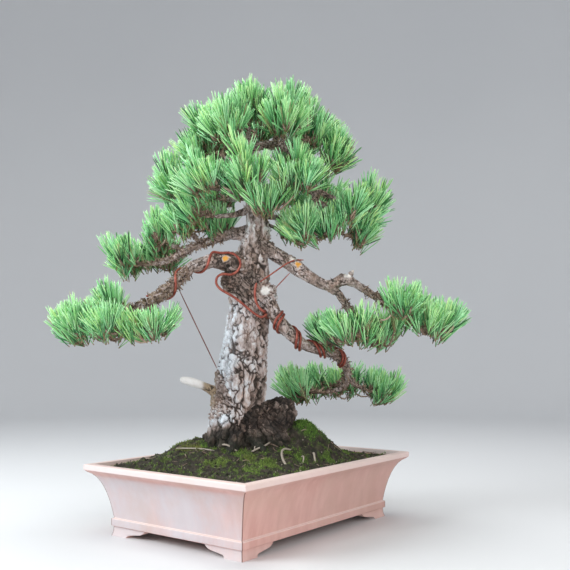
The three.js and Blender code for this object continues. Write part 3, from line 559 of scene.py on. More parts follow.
def soil_material():
    """Marks: tone of the grain, share of moss, how yellow."""
    paint = Paint("damp_soil", Roughness=0.95)
    tone, moss, yellow, _ = paint.marks()
    crumb = paint.noise(420, 5, 0.7)
    clod = paint.noise(90, 4, 0.6)
    shade = paint.math("ADD", paint.times(tone, 0.7), paint.times(crumb, 0.35))
    earth = paint.ramp(
        shade,
        (0.1, (0.006, 0.005, 0.004)), (0.5, (0.04, 0.031, 0.022)),
        (0.78, (0.15, 0.115, 0.085)), (1.0, (0.5, 0.44, 0.36)),
    )
    earth = paint.mix(paint.between(clod, 0.4, 0.65, 0.0, 0.6), earth, (0.012, 0.014, 0.006))
    green = paint.mix(yellow, (0.085, 0.21, 0.018), (0.14, 0.14, 0.025))
    deep = paint.mix(0.8, green, (0.006, 0.008, 0.003))
    felt = paint.mix(paint.between(crumb, 0.35, 0.7), deep, green)
    return paint.finish(paint.mix(moss, earth, felt), bump=crumb, depth=1.8, strength=1.0)


def moss_material():
    """Marks: tone, way up the leaf, how yellow."""
    paint = Paint("moss", Roughness=0.75)
    tone, along, yellow, _ = paint.marks()
    plain = paint.mix(tone, (0.06, 0.16, 0.014), (0.3, 0.6, 0.06))
    green = paint.mix(yellow, plain, (0.26, 0.27, 0.05))
    deep = paint.mix(0.8, green, (0.006, 0.01, 0.003))
    colour = paint.mix(along, deep, green)
    leafy = paint.noise(1500, 2, 0.5)
    return paint.finish(paint.mix(0.3, colour, leafy, "OVERLAY"), bump=leafy, depth=0.2, strength=0.3)


def copper_material(name, dull):
    paint = Paint(name, Roughness=0.4, Metallic=0.35)
    tarnish = paint.noise(140, 5, 0.6)
    colour = paint.mix(paint.between(tarnish, 0.35, 0.68), (0.22, 0.04, 0.026), (0.4, 0.115, 0.078))
    colour = paint.mix(dull, colour, (0.1, 0.06, 0.05))
    scratch = paint.noise(900, 3, 0.6)
    return paint.finish(colour, paint.between(tarnish, 0.3, 0.7, 0.32, 0.55), scratch, 0.15, 0.4)


def screen_material():
    paint = Paint("moulded_screen", Roughness=0.5)
    grain = paint.noise(600, 3, 0.5)
    colour = paint.mix(grain, (0.02, 0.022, 0.025), (0.05, 0.052, 0.056))
    return paint.finish(colour, bump=grain, depth=0.1)


def floor_material():
    paint = Paint("studio_floor", Roughness=0.75)
    cloud = paint.noise(1.2, 2, 0.5)
    return paint.finish(paint.mix(cloud, (0.7, 0.71, 0.72), (0.74, 0.745, 0.75)))


# Needles and the shoots that carry them


def grown_tips(corners, triangles):
    """The tips of a spray's long needles, and the corners round the foot of each."""
    edges = np.concatenate((triangles[:, :2], triangles[:, 1:], triangles[:, ::2]))
    length = norm(corners[edges[:, 0]] - corners[edges[:, 1]], axis=1)
    shortest = np.full(len(corners), np.inf)
    for column in (0, 1):
        np.minimum.at(shortest, edges[:, column], length)
    tips = np.flatnonzero(shortest > 0.62 * NEEDLE_LENGTH)
    seats = [np.setdiff1d(triangles[(triangles == tip).any(axis=1)], tip) for tip in tips]
    return tips, seats


def grouped(seats):
    """Numbers of the needles that stand on touching seats, group by group."""
    groups = []
    for number, seat in enumerate(seats):
        joined = [g for g in groups if g[1] & set(seat)]
        members = [number] + [n for g in joined for n in g[0]]
        reach = set(seat).union(*(g[1] for g in joined))
        groups = [g for g in groups if g not in joined] + [(members, reach)]
    return [sorted(members) for members, _ in groups]


def bare_twigs(corners, triangles, tips, bases, aims):
    """The twigs of a spray, rounded, with each needle drawn in to a bud on its seat."""
    drawn = corners.copy()
    drawn[tips] = bases + aims * 0.8 * MM
    points, faces, normals = reshaped(drawn, triangles, ("SUBSURF", {"levels": 1}))
    swell = 0.55 * MM + 0.5 * MM * rough(points, 3.5 * MM, corners[0, 0])
    return points + normals * swell[:, None], faces


def aside(rng, axis):
    """A random direction square to each axis."""
    return unit(np.cross(axis, rng.normal(size=axis.shape)))


def turned(axis, side, angle):
    """The axis leant towards a side by an angle."""
    return np.cos(angle)[:, None] * axis + np.sin(angle)[:, None] * side


def add_shoots(shape, rng, roots, ends, radius, scales=18, sag=0.12, profile=SHOOT):
    """Brown tapering shoots from the twigs to the tufts, with their small scales."""
    reach = norm(ends - roots, axis=1, keepdims=True)
    bow = np.array((0, 0, -sag)) * reach + 0.08 * reach * rng.normal(size=roots.shape)
    steps = np.linspace(0, 1, len(profile))[None, :, None]
    lines = roots[:, None] * (1 - steps) + ends[:, None] * steps + bow[:, None] * 4 * steps * (1 - steps)
    radii = radius * MM * np.array(profile) * rng.uniform(0.8, 1.15, (len(roots), 1))
    points, faces, size = tubes(lines, radii, 4)
    tone = rng.uniform(0.1, 0.9, len(roots))
    shape.add(points, faces, 1, marks_of(np.repeat(tone, size)))
    add_scales(shape, rng, lines, radius, tone, scales)


def add_scales(shape, rng, lines, radius, tone, each):
    """Small pointed scales that stand off the shoots."""
    owner = np.repeat(np.arange(len(lines)), each)
    share = rng.uniform(0.02, 0.98, len(owner)) * (lines.shape[1] - 1)
    ring = share.astype(int)
    start, end = lines[owner, ring], lines[owner, ring + 1]
    axis = unit(end - start)
    spot = start + (end - start) * (share - ring)[:, None]
    out = aside(rng, axis)
    side = np.cross(axis, out)
    foot = spot + out * radius * 0.85 * MM
    tip = foot + (unit(axis + 0.8 * out) * rng.uniform(1.6, 4.4, (len(owner), 1))) * MM
    wide = side * rng.uniform(0.4, 0.9, (len(owner), 1)) * MM
    points = np.stack((foot - wide, foot + wide, tip), axis=1).reshape(-1, 3)
    tone = np.clip(tone[owner] + rng.normal(0.1, 0.25, len(owner)), 0, 1)
    shape.add(points, np.arange(len(points)).reshape(-1, 3), 1, marks_of(np.repeat(tone, 3)))


def add_spurs(shape, rng, roots, aims, low, high, radius):
    """Short crooked spurs that stand off a twig or a limb."""
    ends = roots + aims * rng.uniform(low, high, (len(roots), 1)) * MM
    add_shoots(shape, rng, roots - aims * MM, ends, radius, 5, -0.15, SPUR)


def add_needles(shape, rng, base, aim, length, tone, brown):
    """Slim three-sided needles that bend a little."""
    count = len(base)
    bend = aside(rng, aim) * rng.uniform(0.0, 0.06, (count, 1))
    steps = np.array((0.0, 0.9, 1.0))
    reach = length[:, None, None]
    lines = base[:, None] + reach * (aim[:, None] * steps[:, None] + bend[:, None] * steps[:, None] ** 2)
    radii = NEEDLE_RADIUS * np.array((0.9, 0.9, 0.1)) * rng.uniform(0.8, 1.15, (count, 1))
    points, faces, _ = tubes(lines, radii, 3, tip=True)
    yellow = rng.uniform(0, 0.7) * rng.uniform(0.3, 1.0, (count, 1))
    along = np.repeat(steps, (3, 3, 1))
    shape.add(points, faces, 0, marks_of(tone[:, None], along, brown[:, None], yellow))


def add_broom(shape, rng, centre, axis, pairs):
    """Needle pairs on the last stretch of a shoot, close round its tip and wider behind it."""
    back = (np.arange(pairs) + rng.uniform(0, 1, pairs)) / pairs
    lean = np.radians(3 + 29 * back + rng.normal(0, 5, pairs))
    out = aside(rng, np.tile(axis, (pairs, 1)))
    aim = turned(axis, out, lean)
    aim[:, 2] = np.where(aim[:, 2] < 0, 0.25 * aim[:, 2], aim[:, 2]) + 0.12
    aim = unit(aim)
    base = centre - axis * (back * BROOM_STRETCH)[:, None] * MM + out * MM
    split = turned(aim, aside(rng, aim), np.radians(rng.uniform(1.5, 6, pairs)))
    length = NEEDLE_LENGTH * rng.uniform(0.86, 1.02, pairs) * rng.uniform(0.88, 1.0)
    # Needles further back on the shoot get a lower tone, which is painted shade inside the tuft; the rest of
    # the tone varies at random.
    tone = 0.78 - 0.28 * back + rng.normal(0, 0.26, pairs) + 0.3 * (rng.uniform() - 0.5)
    dry = 0.7 * (rng.uniform(size=pairs) < 0.02)
    both = np.concatenate((split, unit(2 * aim - split)))
    tones = np.clip(np.tile(tone, 2) + rng.normal(0, 0.12, 2 * pairs), 0, 1)
    add_needles(shape, rng, np.tile(base, (2, 1)), both, np.tile(length, 2), tones, np.tile(dry, 2))


def add_tuft(shape, rng, tuft, brooms):
    """A few shoots that part near their ends, each with its broom of needles."""
    pick = tuft.aims[rng.permutation(len(tuft.aims))[:brooms - 1]]
    loose = unit(0.7 * tuft.axis + 0.6 * pick + 0.12 * rng.normal(size=pick.shape))
    ways = np.concatenate((tuft.axis[None], loose))
    fork = tuft.centre - tuft.axis * 14 * MM
    ends = fork + ways * rng.uniform(10, 22, (len(ways), 1)) * MM
    roots = np.repeat(fork[None], len(ways), axis=0)
    add_shoots(shape, rng, roots, ends + ways * 3 * MM, SHOOT_RADIUS)
    for end, way in zip(ends, unit(ways + 0.2 * tuft.axis + (0, 0, 0.35))):
        add_broom(shape, rng, end, way, TUFT_PAIRS)


def add_link(shape, rng, first, second, brooms):
    """Brooms on shoots of their own that close the gap between two tufts."""
    share = ((np.arange(brooms) + rng.uniform(0.1, 0.9, brooms)) / brooms)[:, None]
    guides = np.concatenate((first.aims, second.aims))
    pick = guides[rng.integers(len(guides), size=brooms)]
    ways = unit(first.axis * (1 - share) + second.axis * share + 0.5 * pick + (0, 0, 0.2))
    ends = first.centre * (1 - share) + second.centre * share + 4 * MM * rng.normal(size=ways.shape)
    ends -= ways * rng.uniform(1, 13, (brooms, 1)) * MM
    roots = np.where(share < 0.5, first.foot, second.foot)
    add_shoots(shape, rng, roots, ends + ways * 3 * MM, SHOOT_RADIUS, 20, 0.2)
    for end, way in zip(ends, ways):
        add_broom(shape, rng, end, way, LINK_PAIRS)


class Tuft:
    """The long needles of one twig end of the solids."""

    def __init__(self, node, bases, aims):
        self.node = node
        self.centre = bases.mean(axis=0)
        self.aims = aims
        self.axis = unit(aims.mean(axis=0) + (0, 0, 0.28))
        self.foot = self.centre - self.axis * 15 * MM


def read_sprays():
    """Every spray's bare twigs and its tufts."""
    twigs, tufts = {}, []
    for node in sorted(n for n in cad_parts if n.startswith("spray_")):
        corners, triangles = solid_of(node)
        tips, seats = grown_tips(corners, triangles)
        bases = np.array([corners[seat].mean(axis=0) for seat in seats])
        aims = unit(corners[tips] - bases)
        twigs[node] = bare_twigs(corners, triangles, tips, bases, aims)
        tufts += [Tuft(node, bases[members], aims[members]) for members in grouped(seats)]
    return twigs, tufts


def neighbours(tufts):
    """Pairs of tufts with a gap between them that further brooms fill, as numbers."""
    places = np.array([t.centre for t in tufts])
    axes = np.array([t.axis for t in tufts])
    found = set()
    for i, centre in enumerate(places):
        apart = norm(places - centre, axis=1) / MM
        alike = axes @ axes[i] > 0.1
        order = [j for j in np.argsort(apart) if alike[j] and LINK_NEAR < apart[j] < LINK_FAR]
        found |= {tuple(sorted((i, int(j)))) for j in order[:LINKED]}
    return sorted(found)


def twig_spurs(shape, rng, points, faces, count):
    """Spurs on the bare twigs of a spray."""
    picked = faces[rng.integers(len(faces), size=count)]
    a, b, c = points[picked[:, 0]], points[picked[:, 1]], points[picked[:, 2]]
    out = unit(np.cross(b - a, c - a))
    aims = unit(out + 0.5 * rng.normal(size=out.shape) + (0, 0, 0.25))
    add_spurs(shape, rng, (a + b + c) / 3, aims, 4, 13, SPUR_RADIUS)


def make_spray(number, node, twigs, own, between, needles, shoots):
    """One spray: its twigs, the scaly shoots on them and the needle tufts."""
    rng = np.random.default_rng(1000 + number)
    shape = Shape()
    points, faces = twigs
    tone = 0.4 + 0.5 * rough(points, 9 * MM, number)
    grey = smoothstep(rough(points, 14 * MM, number + 5), 0.1, 0.6) * 0.4
    shape.add(points, faces, 1, marks_of(tone, grey))
    twig_spurs(shape, rng, points, faces, 20 * len(own))
    for tuft in own:
        add_tuft(shape, rng, tuft, 4 if tuft.axis[2] > 0.25 else 3)
    for first, second in between:
        apart = norm(first.centre - second.centre) / MM
        add_link(shape, rng, first, second, 2 if apart < 40 else 3)
    made = shape.piece("needles_" + node.removeprefix("spray_"), needles, shoots)
    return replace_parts(made, node)


def make_foliage(needles, shoots):
    """All the sprays; what links two of them belongs to the first."""
    twigs, tufts = read_sprays()
    fills = [(tufts[i], tufts[j]) for i, j in neighbours(tufts)]
    for number, node in enumerate(twigs):
        own = [t for t in tufts if t.node == node]
        between = [pair for pair in fills if pair[0].node == node]
        make_spray(number, node, twigs[node], own, between, needles, shoots)


# Wood


def along_lines(points):
    """Each point by the nearest middle line: how far off it to two sides and how far along, in mm."""
    best = np.full(len(points), np.inf)
    local = np.zeros_like(points)
    which = np.zeros(len(points), int)
    for number, (_, *line) in enumerate(LINES.values()):
        placed = [place(*p) for p in line]
        side, start = np.array((0.3, 1.0, 0.2)), LINE_STEP * number
        for a, b in zip(placed[:-1], placed[1:]):
            length = norm(b - a)
            run = (b - a) / length
            side = unit(side - (side @ run) * run)
            along = np.clip((points - a) @ run, 0, length)
            off = points - a - along[:, None] * run
            distance = norm(off, axis=1)
            near = distance < best
            best[near] = distance[near]
            which[near] = number
            axes = np.stack((side, np.cross(run, side)), axis=1)
            local[near, :2] = off[near] @ axes / MM
            local[near, 2] = start + along[near] / MM
            start += length / MM
    return local, which


def on_line(which, *names):
    """Where the nearest middle line is one of those named."""
    return np.isin(which, [LINE_NAMES.index(name) for name in names])


def thickness(points, normals):
    """Half of the wood's thickness under each point, in mm."""
    wood = search_tree("wood")
    half = np.empty(len(points))
    for i, (point, normal) in enumerate(zip(points, normals)):
        far = wood.ray_cast(Vector(point - 1.2 * MM * normal), Vector(-normal), 0.1)[3]
        half[i] = 21 if far is None else 0.5 * far / MM + 0.6
    return np.clip(half, 2.5, 42)


def bark_plates(q, seed):
    """Cells round scattered points: how far in from its edge a place is, the cell's level and its lean."""
    shift = Vector((17.3, 5.9, 11.7)) * seed
    found = [noise.voronoi(Vector(p) + shift) for p in q]
    reach = np.array([apart for apart, _ in found])
    middle = np.array([[*near[0]] for _, near in found])
    level = np.modf(np.abs(np.sin(middle @ (12.99, 78.23, 37.72))) * 437.5)[0]
    slope = np.sin(middle[:, ::-1] * 91.7)
    lean = np.sum((q + shift - middle) * slope, axis=1)
    return reach[:, 1] - reach[:, 0], level, lean


def bark_cracks(q, edge, fine_edge):
    """How deep a place lies in a crack between plates, or in a chink inside one, from 0 to 1."""
    patch = rough(q, 2.3, 6)
    crack = (1 - smoothstep(edge, 0.0, 0.2)) * (0.45 + 0.55 * smoothstep(patch, -0.4, 0.15))
    chink = (1 - smoothstep(fine_edge, 0.0, 0.14)) * (0.15 + 0.4 * smoothstep(-patch, -0.3, 0.3))
    return np.maximum(crack, chink)


def bark_relief(points, normals):
    """How far the bark stands out, in mm, with its cracks, its tone and where each point is."""
    local, which = along_lines(points)
    thick = thickness(points, normals)
    width = np.array([line[0] for line in LINES.values()])[which]
    q = local / width[:, None]
    q = q * (1, 1, 0.32) + 0.45 * np.stack([rough(q, 0.9, k) for k in (1, 2, 3)], axis=1)
    edge, level, lean = bark_plates(q, 4)
    fine_edge, fine_level, _ = bark_plates(q * (2.3, 2.3, 1.7), 5)
    crack = bark_cracks(q, edge, fine_edge)
    plates = smoothstep(edge, 0.0, 0.3)
    depth = np.clip(0.1 * thick, 0.35, 4.2)
    height = depth * (0.75 * plates + 0.7 * level + 0.55 * lean + 0.3 * fine_level - 0.55 * crack)
    height += 0.25 * depth * rough(points, 3.4 * MM, 10)
    uneven = 0.26 * (level - 0.5) + 0.2 * lean + 0.2 * (fine_level - 0.5)
    uneven += 0.38 * rough(points, 26 * MM, 11)
    calm = 0.55 + 0.45 * smoothstep(thick, 7, 22)
    # The tone drops in the cracks, partly as painted shade.
    tone = 0.5 + calm * (uneven + 0.12 * plates - 0.2 * crack) + 0.1 * smoothstep(thick, 9, 24) - 0.02
    rugged = ruggedness(points, which)
    knobs = 2.8 * rough(points, 12 * MM, 12) + 1.5 * rough(points, 5 * MM, 13)
    height += rugged * knobs + collars(points)
    return height, crack, tone - 0.7 * rugged, local, which


def ruggedness(points, which):
    """How dark and knobbly the wood is: most at the foot, on the stump and where the low limbs part."""
    across, _, up = tree_frame(points)
    ragged = up + 16 * rough(points, 24 * MM, 15)
    foot = 1 - smoothstep(ragged, 140, 184)
    fork = smoothstep(ragged, 358, 384) * (1 - smoothstep(ragged, 446, 480))
    fork = 0.36 * fork * smoothstep(across, -74, -54) * (1 - smoothstep(across, 8, 24))
    return np.maximum(np.maximum(foot, fork), 0.9 * on_line(which, "stump", "fore_root"))


def distance(points, middle):
    """How far each point is from one of the tree's frame, in mm."""
    return norm(points - place(*middle), axis=1) / MM


def collars(points):
    """Ragged rims of bark round the cuts, in mm."""
    rim = np.zeros(len(points))
    for middle, radius, _ in CUTS:
        apart = distance(points, middle)
        rim = np.maximum(rim, np.exp(-(((apart - radius - 2.5) / 2.2) ** 2)))
    return rim * (1.5 + 1.6 * rough(points, 4 * MM, 14))


def wood_marks(points, crack, tone, which):
    """Crack, tone, bare wood and tint at each point of the wood."""
    across, _, up = tree_frame(points)
    jin = on_line(which, "jin")
    lean = across - np.interp(up, (150, 210, 300, 430), (-35, -28, -20, -7))
    # Painted light: the left side of the trunk is made paler and cooler in tint, partly bleached bark,
    # mostly the cool lamp's light on that side.
    bleached_and_lit_side = smoothstep(-lean, -4, 17) * on_line(which, "trunk") * smoothstep(up, 138, 172)
    bleached_and_lit_side *= 1 - smoothstep(up, 355, 385)
    bare = jin * smoothstep(-across + 5 * rough(points, 9 * MM, 17), 84, 94)
    tan = jin * smoothstep(-across, 60, 70) * smoothstep(up, 188, 200) * (1 - bare)
    tone = np.clip(tone + 0.34 * bleached_and_lit_side, -0.3, 1.1)
    marks = marks_of(crack * (1 - bare), tone, bare, bleached_and_lit_side - tan)
    ragged = 3.2 * rough(points, 5 * MM, 16)
    for middle, radius, orange in CUTS:
        near = 1 - smoothstep(distance(points, middle) + ragged, radius - 2.5, radius + 0.3)
        marks[:, 2] = np.maximum(marks[:, 2], near)
        marks[:, 3] += near * (orange - marks[:, 3])
    return marks


def even_wood():
    """The wood that shows over the soil, with points evenly apart, smoothed: points, faces and normals."""
    even = ("REMESH", {"mode": "VOXEL", "voxel_size": BARK_CELL, "adaptivity": 0.0})
    soft = ("SMOOTH", {"factor": 0.5, "iterations": 7})
    points, faces, normals = reshaped(*solid_of("wood"), even, soft)
    faces = faces[points[faces][:, :, 2].max(axis=1) > BARK_FOOT]
    used = np.unique(faces)
    order = np.zeros(len(points), int)
    order[used] = np.arange(len(used))
    return points[used], order[faces], normals[used]


def make_wood(material):
    """The trunk, limbs and surface roots with their plates of bark."""
    points, faces, normals = even_wood()
    height, crack, tone, local, which = bark_relief(points, normals)
    marks = wood_marks(points, crack, tone, which)
    lift = (height * (1 - 0.8 * marks[:, 2]) + 0.3) * MM
    shape = Shape()
    shape.add(points + normals * lift[:, None], faces, 0, marks)
    made = shape.piece("bark", material)
    thin(made)
    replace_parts(made, "wood")
    return points, normals, local, which


def make_spurs(points, normals, local, which, material):
    """The scaly brown spurs of old shoots on the limbs inside the pads."""
    rng = np.random.default_rng(31)
    shape = Shape()
    for name, (start, end, count) in SPURS.items():
        along = local[:, 2] - LINE_STEP * LINE_NAMES.index(name)
        here = np.flatnonzero(on_line(which, name) & (along > start) & (along < end))
        picked = here[rng.integers(len(here), size=count)]
        out = normals[picked]
        aims = unit(out + 0.9 * rng.normal(size=out.shape) + (0, 0, 0.1))
        add_spurs(shape, rng, points[picked], aims, 3, 9, LIMB_SPUR_RADIUS)
    made = shape.piece("scaly_spurs", material, material)
    return made


def thin(made):
    """Leaves fewer faces where the surface is even."""
    made.modifiers.new("thin", "DECIMATE").ratio = BARK_KEPT
    mesh = final_mesh(made)
    made.modifiers.clear()
    made.data = mesh


# Soil and moss


def soil_height(x, y):
    """The height of the soil at a place in the pot's frame, all in mm."""
    across, away = to_tree(x, y)
    mound = 0
    for middle, back, wide, deep, high in MOUNDS:
        mound = mound + high * np.exp(-0.5 * (((across - middle) / wide) ** 2 + ((away - back) / deep) ** 2))
    mound = mound + 2.2 * np.sin(x / 17 + 2 * np.sin(y / 29)) * np.sin(y / 15 + 1.3 * np.sin(x / 23))
    to_wall = np.minimum(POT_LENGTH / 2 - SLOPE_INSET - abs(x), POT_WIDTH / 2 - SLOPE_INSET - abs(y))
    return SOIL_EDGE + mound * smoothstep(to_wall, -6, 60)


class Ground:
    """The soil's top: the higher of its own form and the solid's."""

    def __init__(self):
        self.solid = search_tree("soil")
        self.wood = search_tree("wood")

    def top(self, x, y):
        """The height in metres at a place of the pot's frame, in mm."""
        start = Vector(CENTRE + MM * np.array((x, y, 250)))
        hit = self.solid.ray_cast(start, Vector((0, 0, -1)))[0]
        own = float(soil_height(x, y)) * MM
        return max(own, hit.z) if hit and hit.z > 0.09 else own

    def clear(self, point, room):
        """Whether a point stands off the wood."""
        return self.wood.find_nearest(Vector(point))[3] > room


def moss_share(x, y):
    """How mossy a place is, from 0 to 1, and how yellow the moss is there."""
    across, away = to_tree(x, y)
    share, yellow = 0.24, 0.35
    for middle, back, radius, tint in MOSS:
        here = math.exp(-(((across - middle) ** 2 + (away - back) ** 2) / radius**2))
        if here > share:
            share, yellow = here, tint
    ragged = ripple(x, y, 14, 3) + 0.9 * ripple(x, y, 5, 8)
    return float(smoothstep(share + 0.5 * ragged, 0.22, 0.72)), yellow


def clods(x, y):
    """The unevenness of the soil, in mm."""
    return 7 * abs(ripple(x, y, 17, 1)) + 3 * ripple(x, y, 8, 0) + 1.8 * ripple(x, y, 4.3, 5)


def make_soil(ground, material):
    """The crumbly top of the soil, laid on the solid."""
    half = (POT_LENGTH / 2 - TOP_INSET, POT_WIDTH / 2 - TOP_INSET)
    columns, rows = (int(2 * side / SOIL_STEP) + 1 for side in half)
    xs, ys = np.linspace(-half[0], half[0], columns), np.linspace(-half[1], half[1], rows)
    points, marks = [], []
    for y in ys:
        for x in xs:
            rim = min(half[0] - abs(x), half[1] - abs(y))
            rise = 1.3 + clods(x, y) * min(1, 0.3 + rim / 30) if rim > 1 else -1.5
            moss, yellow = moss_share(x, y)
            points.append(CENTRE + np.array((x * MM, y * MM, ground.top(x, y) + rise * MM)))
            marks.append((0.45 + 0.35 * ripple(x, y, 6, 2), moss, yellow, 0))
    grid = quads(rows, columns)
    faces = np.concatenate((grid[:, :3], grid[:, (0, 2, 3)]))
    shape = Shape()
    shape.add(np.array(points), faces, 0, np.array(marks))
    made = shape.piece("soil_top", material)
    return made


def scattered(rng, ground, count, room):
    """Places on the soil, clear of the wood, with their moss."""
    found = []
    while len(found) < count:
        x, y = (rng.uniform(-1, 1) * side for side in HALF_SOIL[:2])
        point = CENTRE + np.array((x * MM, y * MM, ground.top(x, y) + (1.3 + clods(x, y)) * MM))
        if ground.clear(point, room):
            found.append((point, *moss_share(x, y)))
    return found


def make_grains(ground, material):
    """Loose grains and crumbs on the soil."""
    rng = np.random.default_rng(21)
    work = bmesh.new()
    bmesh.ops.create_icosphere(work, subdivisions=1, radius=1)
    template = np.array([v.co for v in work.verts])
    triangles = np.array([[v.index for v in f.verts] for f in work.faces])
    work.free()
    shape = Shape()
    for point, moss, yellow in scattered(rng, ground, GRAINS, 2.0 * MM):
        size = rng.uniform(0.7, 1.7) * (1.0 if rng.uniform() < 0.85 else 1.7)
        spin = qr(rng.normal(size=(3, 3)))[0]
        grain = (template * rng.uniform(0.6, 1.15, (len(template), 1)) * rng.uniform(0.6, 1.2, 3)) @ spin
        tone = rng.uniform(0.05, 0.8) if rng.uniform() < 0.93 else 1.1
        shape.add(point + grain * size * MM, triangles, 0, (tone, 0.45 * moss, yellow, 0))
    made = shape.piece("soil_grains", material)
    return made


def make_moss(ground, material):
    """Short moss leaves, thickest in the patches."""
    rng = np.random.default_rng(22)
    found = scattered(rng, ground, int(LEAVES * 2.2), 0.3 * MM)
    kept = [spot for spot in found if rng.uniform() < spot[1] + 0.03][:LEAVES]
    base, moss, yellow = (np.array(column) for column in zip(*kept))
    base -= (0, 0, 0.8 * MM)
    aim = unit(rng.normal(size=base.shape) * 0.42 + (0, 0, 1))
    length = rng.uniform(1.8, 4.6, len(base)) * (0.6 + 0.7 * moss) * MM
    steps = np.array((0.0, 1.0))[None, :, None]
    lines = base[:, None] + length[:, None, None] * aim[:, None] * steps
    radii = np.array((0.62, 0.05)) * MM * rng.uniform(0.8, 1.3, (len(base), 1))
    points, faces, size = tubes(lines, radii, 3, tip=True)
    tone = rng.uniform(0, 1, (len(base), 1))
    yellow = np.clip(yellow[:, None] + rng.normal(size=tone.shape) * 0.12, 0, 1)
    shape = Shape()
    shape.add(points, faces, 0, marks_of(tone, np.arange(size) == size - 1, yellow))
    made = shape.piece("moss", material)
    return made


def bit_lines(rng, ground):
    """Short lines on the soil, bent a little."""
    roots = np.array([point for point, _, _ in scattered(rng, ground, BITS, 2.0 * MM)])
    turn = rng.uniform(0, 2 * math.pi, BITS)
    ways = np.stack((np.cos(turn), np.sin(turn), 0 * turn), axis=1)
    ends = roots + ways * rng.uniform(5, 22, (BITS, 1)) * MM
    ends = np.clip(ends, CENTRE - HALF_SOIL * MM, CENTRE + HALF_SOIL * MM)
    ends[:, 2] = [ground.top(*((end - CENTRE) / MM)[:2]) + 3.0 * MM for end in ends]
    steps = np.linspace(0, 1, 3)[None, :, None]
    lines = (roots[:, None] + (0, 0, 0.6 * MM)) * (1 - steps) + ends[:, None] * steps
    lines[:, 1] += rng.normal(size=roots.shape) * 0.8 * MM
    return lines


def make_litter(ground, material):
    """Roots, twigs and fallen needles on the soil."""
    rng = np.random.default_rng(23)
    shape = Shape()
    for path, radius, pale in STRAYS:
        shape.add(*stray(ground, path, radius), 0, (0.55 + 0.4 * rng.uniform(), pale, 0, 0))
    lines = bit_lines(rng, ground)
    radii = rng.uniform(0.35, 0.8, (BITS, 1)) * np.array((1, 1, 0.5)) * MM
    points, faces, size = tubes(lines, radii, 4)
    tone = rng.uniform(0.0, 0.75, BITS)
    pale = rng.uniform(0.0, 0.5, BITS) ** 2
    shape.add(points, faces, 0, marks_of(np.repeat(tone, size), np.repeat(pale, size)))
    made = shape.piece("litter", material)
    return made


def stray(ground, path, radius):
    """Points and faces of one root or twig that follows the soil."""
    fine = np.linspace(0, len(path) - 1, 4 * len(path))
    across, away, rise = (np.interp(fine, range(len(path)), column) for column in np.array(path, float).T)
    x, y = to_pot(across, away)
    base = np.array([ground.top(*spot) for spot in zip(x, y)])
    line = CENTRE + np.stack((x * MM, y * MM, base + (rise + 2.5) * MM), axis=1)
    for _ in range(3):
        line[1:-1] = (line[:-2] + 2 * line[1:-1] + line[2:]) / 4
    taper = np.interp(fine / fine[-1], (0, 0.15, 0.85, 1), (0.6, 1.0, 0.9, 0.4))
    points, faces, _ = tubes(line[None], radius * taper[None] * MM, 6)
    return points, faces


# Pot and wires


def make_pot(material):
    """The pot with its edges rounded."""
    work = bmesh.new()
    work.from_mesh(mesh_of("pot_work", *solid_of("pot")))
    bmesh.ops.dissolve_limit(work, angle_limit=math.radians(1), verts=work.verts[:], edges=work.edges[:])
    sharp = [e for e in work.edges if e.is_manifold and e.calc_face_angle(0) > math.radians(22)]
    rounding = {"offset": 0.8 * MM, "offset_type": "OFFSET", "segments": 3, "profile": 0.6}
    bmesh.ops.bevel(work, geom=sharp, affect="EDGES", clamp_overlap=True, **rounding)
    mesh = bpy.data.meshes.new("pot_clay")
    work.to_mesh(mesh)
    work.free()
    made = make_piece("pot_clay", mesh, material)
    mesh.set_sharp_from_angle(angle=math.radians(38))
    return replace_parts(made, "pot")


def make_wire(node, material, grow):
    """A wire with a round section in the place of its solid."""
    points, faces, normals = reshaped(*solid_of(node), ("SUBSURF", {"levels": 2}))
    shape = Shape()
    shape.add(points + normals * grow * MM, faces)
    made = shape.piece(node + "_round", material)
    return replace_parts(made, node)


# Studio


def make_camera():
    data = bpy.data.cameras.new("photo_camera")
    data.sensor_width = 36
    data.lens = 36 * FOCAL_PIXELS / IMAGE_SIDE
    data.clip_start, data.clip_end = 0.05, 50
    camera = new_object("photo_camera", data)
    camera.location = place(*CAMERA_PLACE)
    ahead = place(0, math.cos(CAMERA_TILT), math.sin(CAMERA_TILT)) - place(0, 0, 0)
    camera.rotation_euler = Vector(ahead).to_track_quat("-Z", "Y").to_euler()
    bpy.context.scene.camera = camera


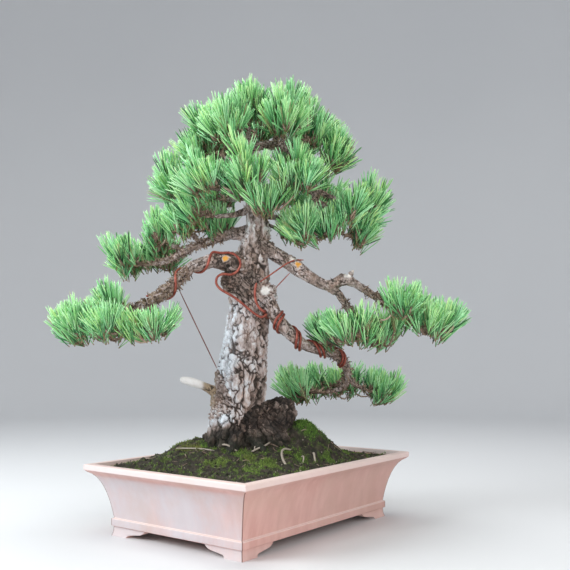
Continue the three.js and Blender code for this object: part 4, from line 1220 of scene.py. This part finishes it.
def make_light(name, where, size, power, warmth):
    """A soft square lamp that looks at the tree."""
    data = bpy.data.lights.new(name, "AREA")
    data.size, data.energy, data.color = size, power, warmth
    lamp = new_object(name, data)
    lamp.location = place(*where)
    lamp.rotation_euler = Vector(place(0, 0, 330) - place(*where)).to_track_quat("-Z", "Y").to_euler()


def make_floor():
    """A pale floor that curves up into a wall all round."""
    bend = np.linspace(0, math.pi / 2, 12)
    radii = (0, *(2.4 + 1.2 * np.sin(bend)), 3.6)
    heights = (0, *(1.2 - 1.2 * np.cos(bend)), 4)
    turns = np.arange(64) * math.pi / 32
    points = [(r * math.cos(a), r * math.sin(a), h) for r, h in zip(radii, heights) for a in turns]
    mesh = mesh_of("studio", np.array(points), quads(len(radii), len(turns), True))
    mesh.materials.append(floor_material())
    studio = new_object("studio", mesh)


def make_lights():
    """Soft lamps and a pale sky."""
    make_light("key", (-1550, -620, 1150), 1.0, 31, (0.92, 0.97, 1.0))
    make_light("fill", (750, -1750, 750), 1.6, 18, (1.0, 0.96, 0.93))
    make_light("top", (0, 100, 2100), 1.4, 24, (1.0, 1.0, 0.98))
    world = bpy.data.worlds.new("studio_air")
    world.use_nodes = True
    air = world.node_tree.nodes["Background"].inputs
    air["Color"].default_value = (0.9, 0.93, 1.0, 1)
    air["Strength"].default_value = 0.5
    bpy.context.scene.world = world
    bpy.context.scene.view_settings.view_transform = "Standard"


def main():
    make_camera()
    make_floor()
    make_lights()
    needles, shoots = needle_material(), shoot_material()
    make_foliage(needles, shoots)
    make_spurs(*make_wood(bark_material()), shoots)
    make_pot(clay_material())
    ground = Ground()
    soil = soil_material()
    make_soil(ground, soil)
    make_grains(ground, soil)
    make_moss(ground, moss_material())
    make_litter(ground, shoots)
    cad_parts["soil"].data.materials[0] = soil
    screen = screen_material()
    for node in ("drain_screen_left", "drain_screen_right"):
        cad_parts[node].data.materials[0] = screen
    bright, dull = copper_material("copper_wire", 0.0), copper_material("dull_wire", 0.6)
    for node in ("wire_across", "wire_low", "guy_right", "guy_low"):
        make_wire(node, bright, WIRE_GROWTH if node.startswith("wire") else GUY_GROWTH)
    make_wire("guy_left", dull, GUY_GROWTH)


main()
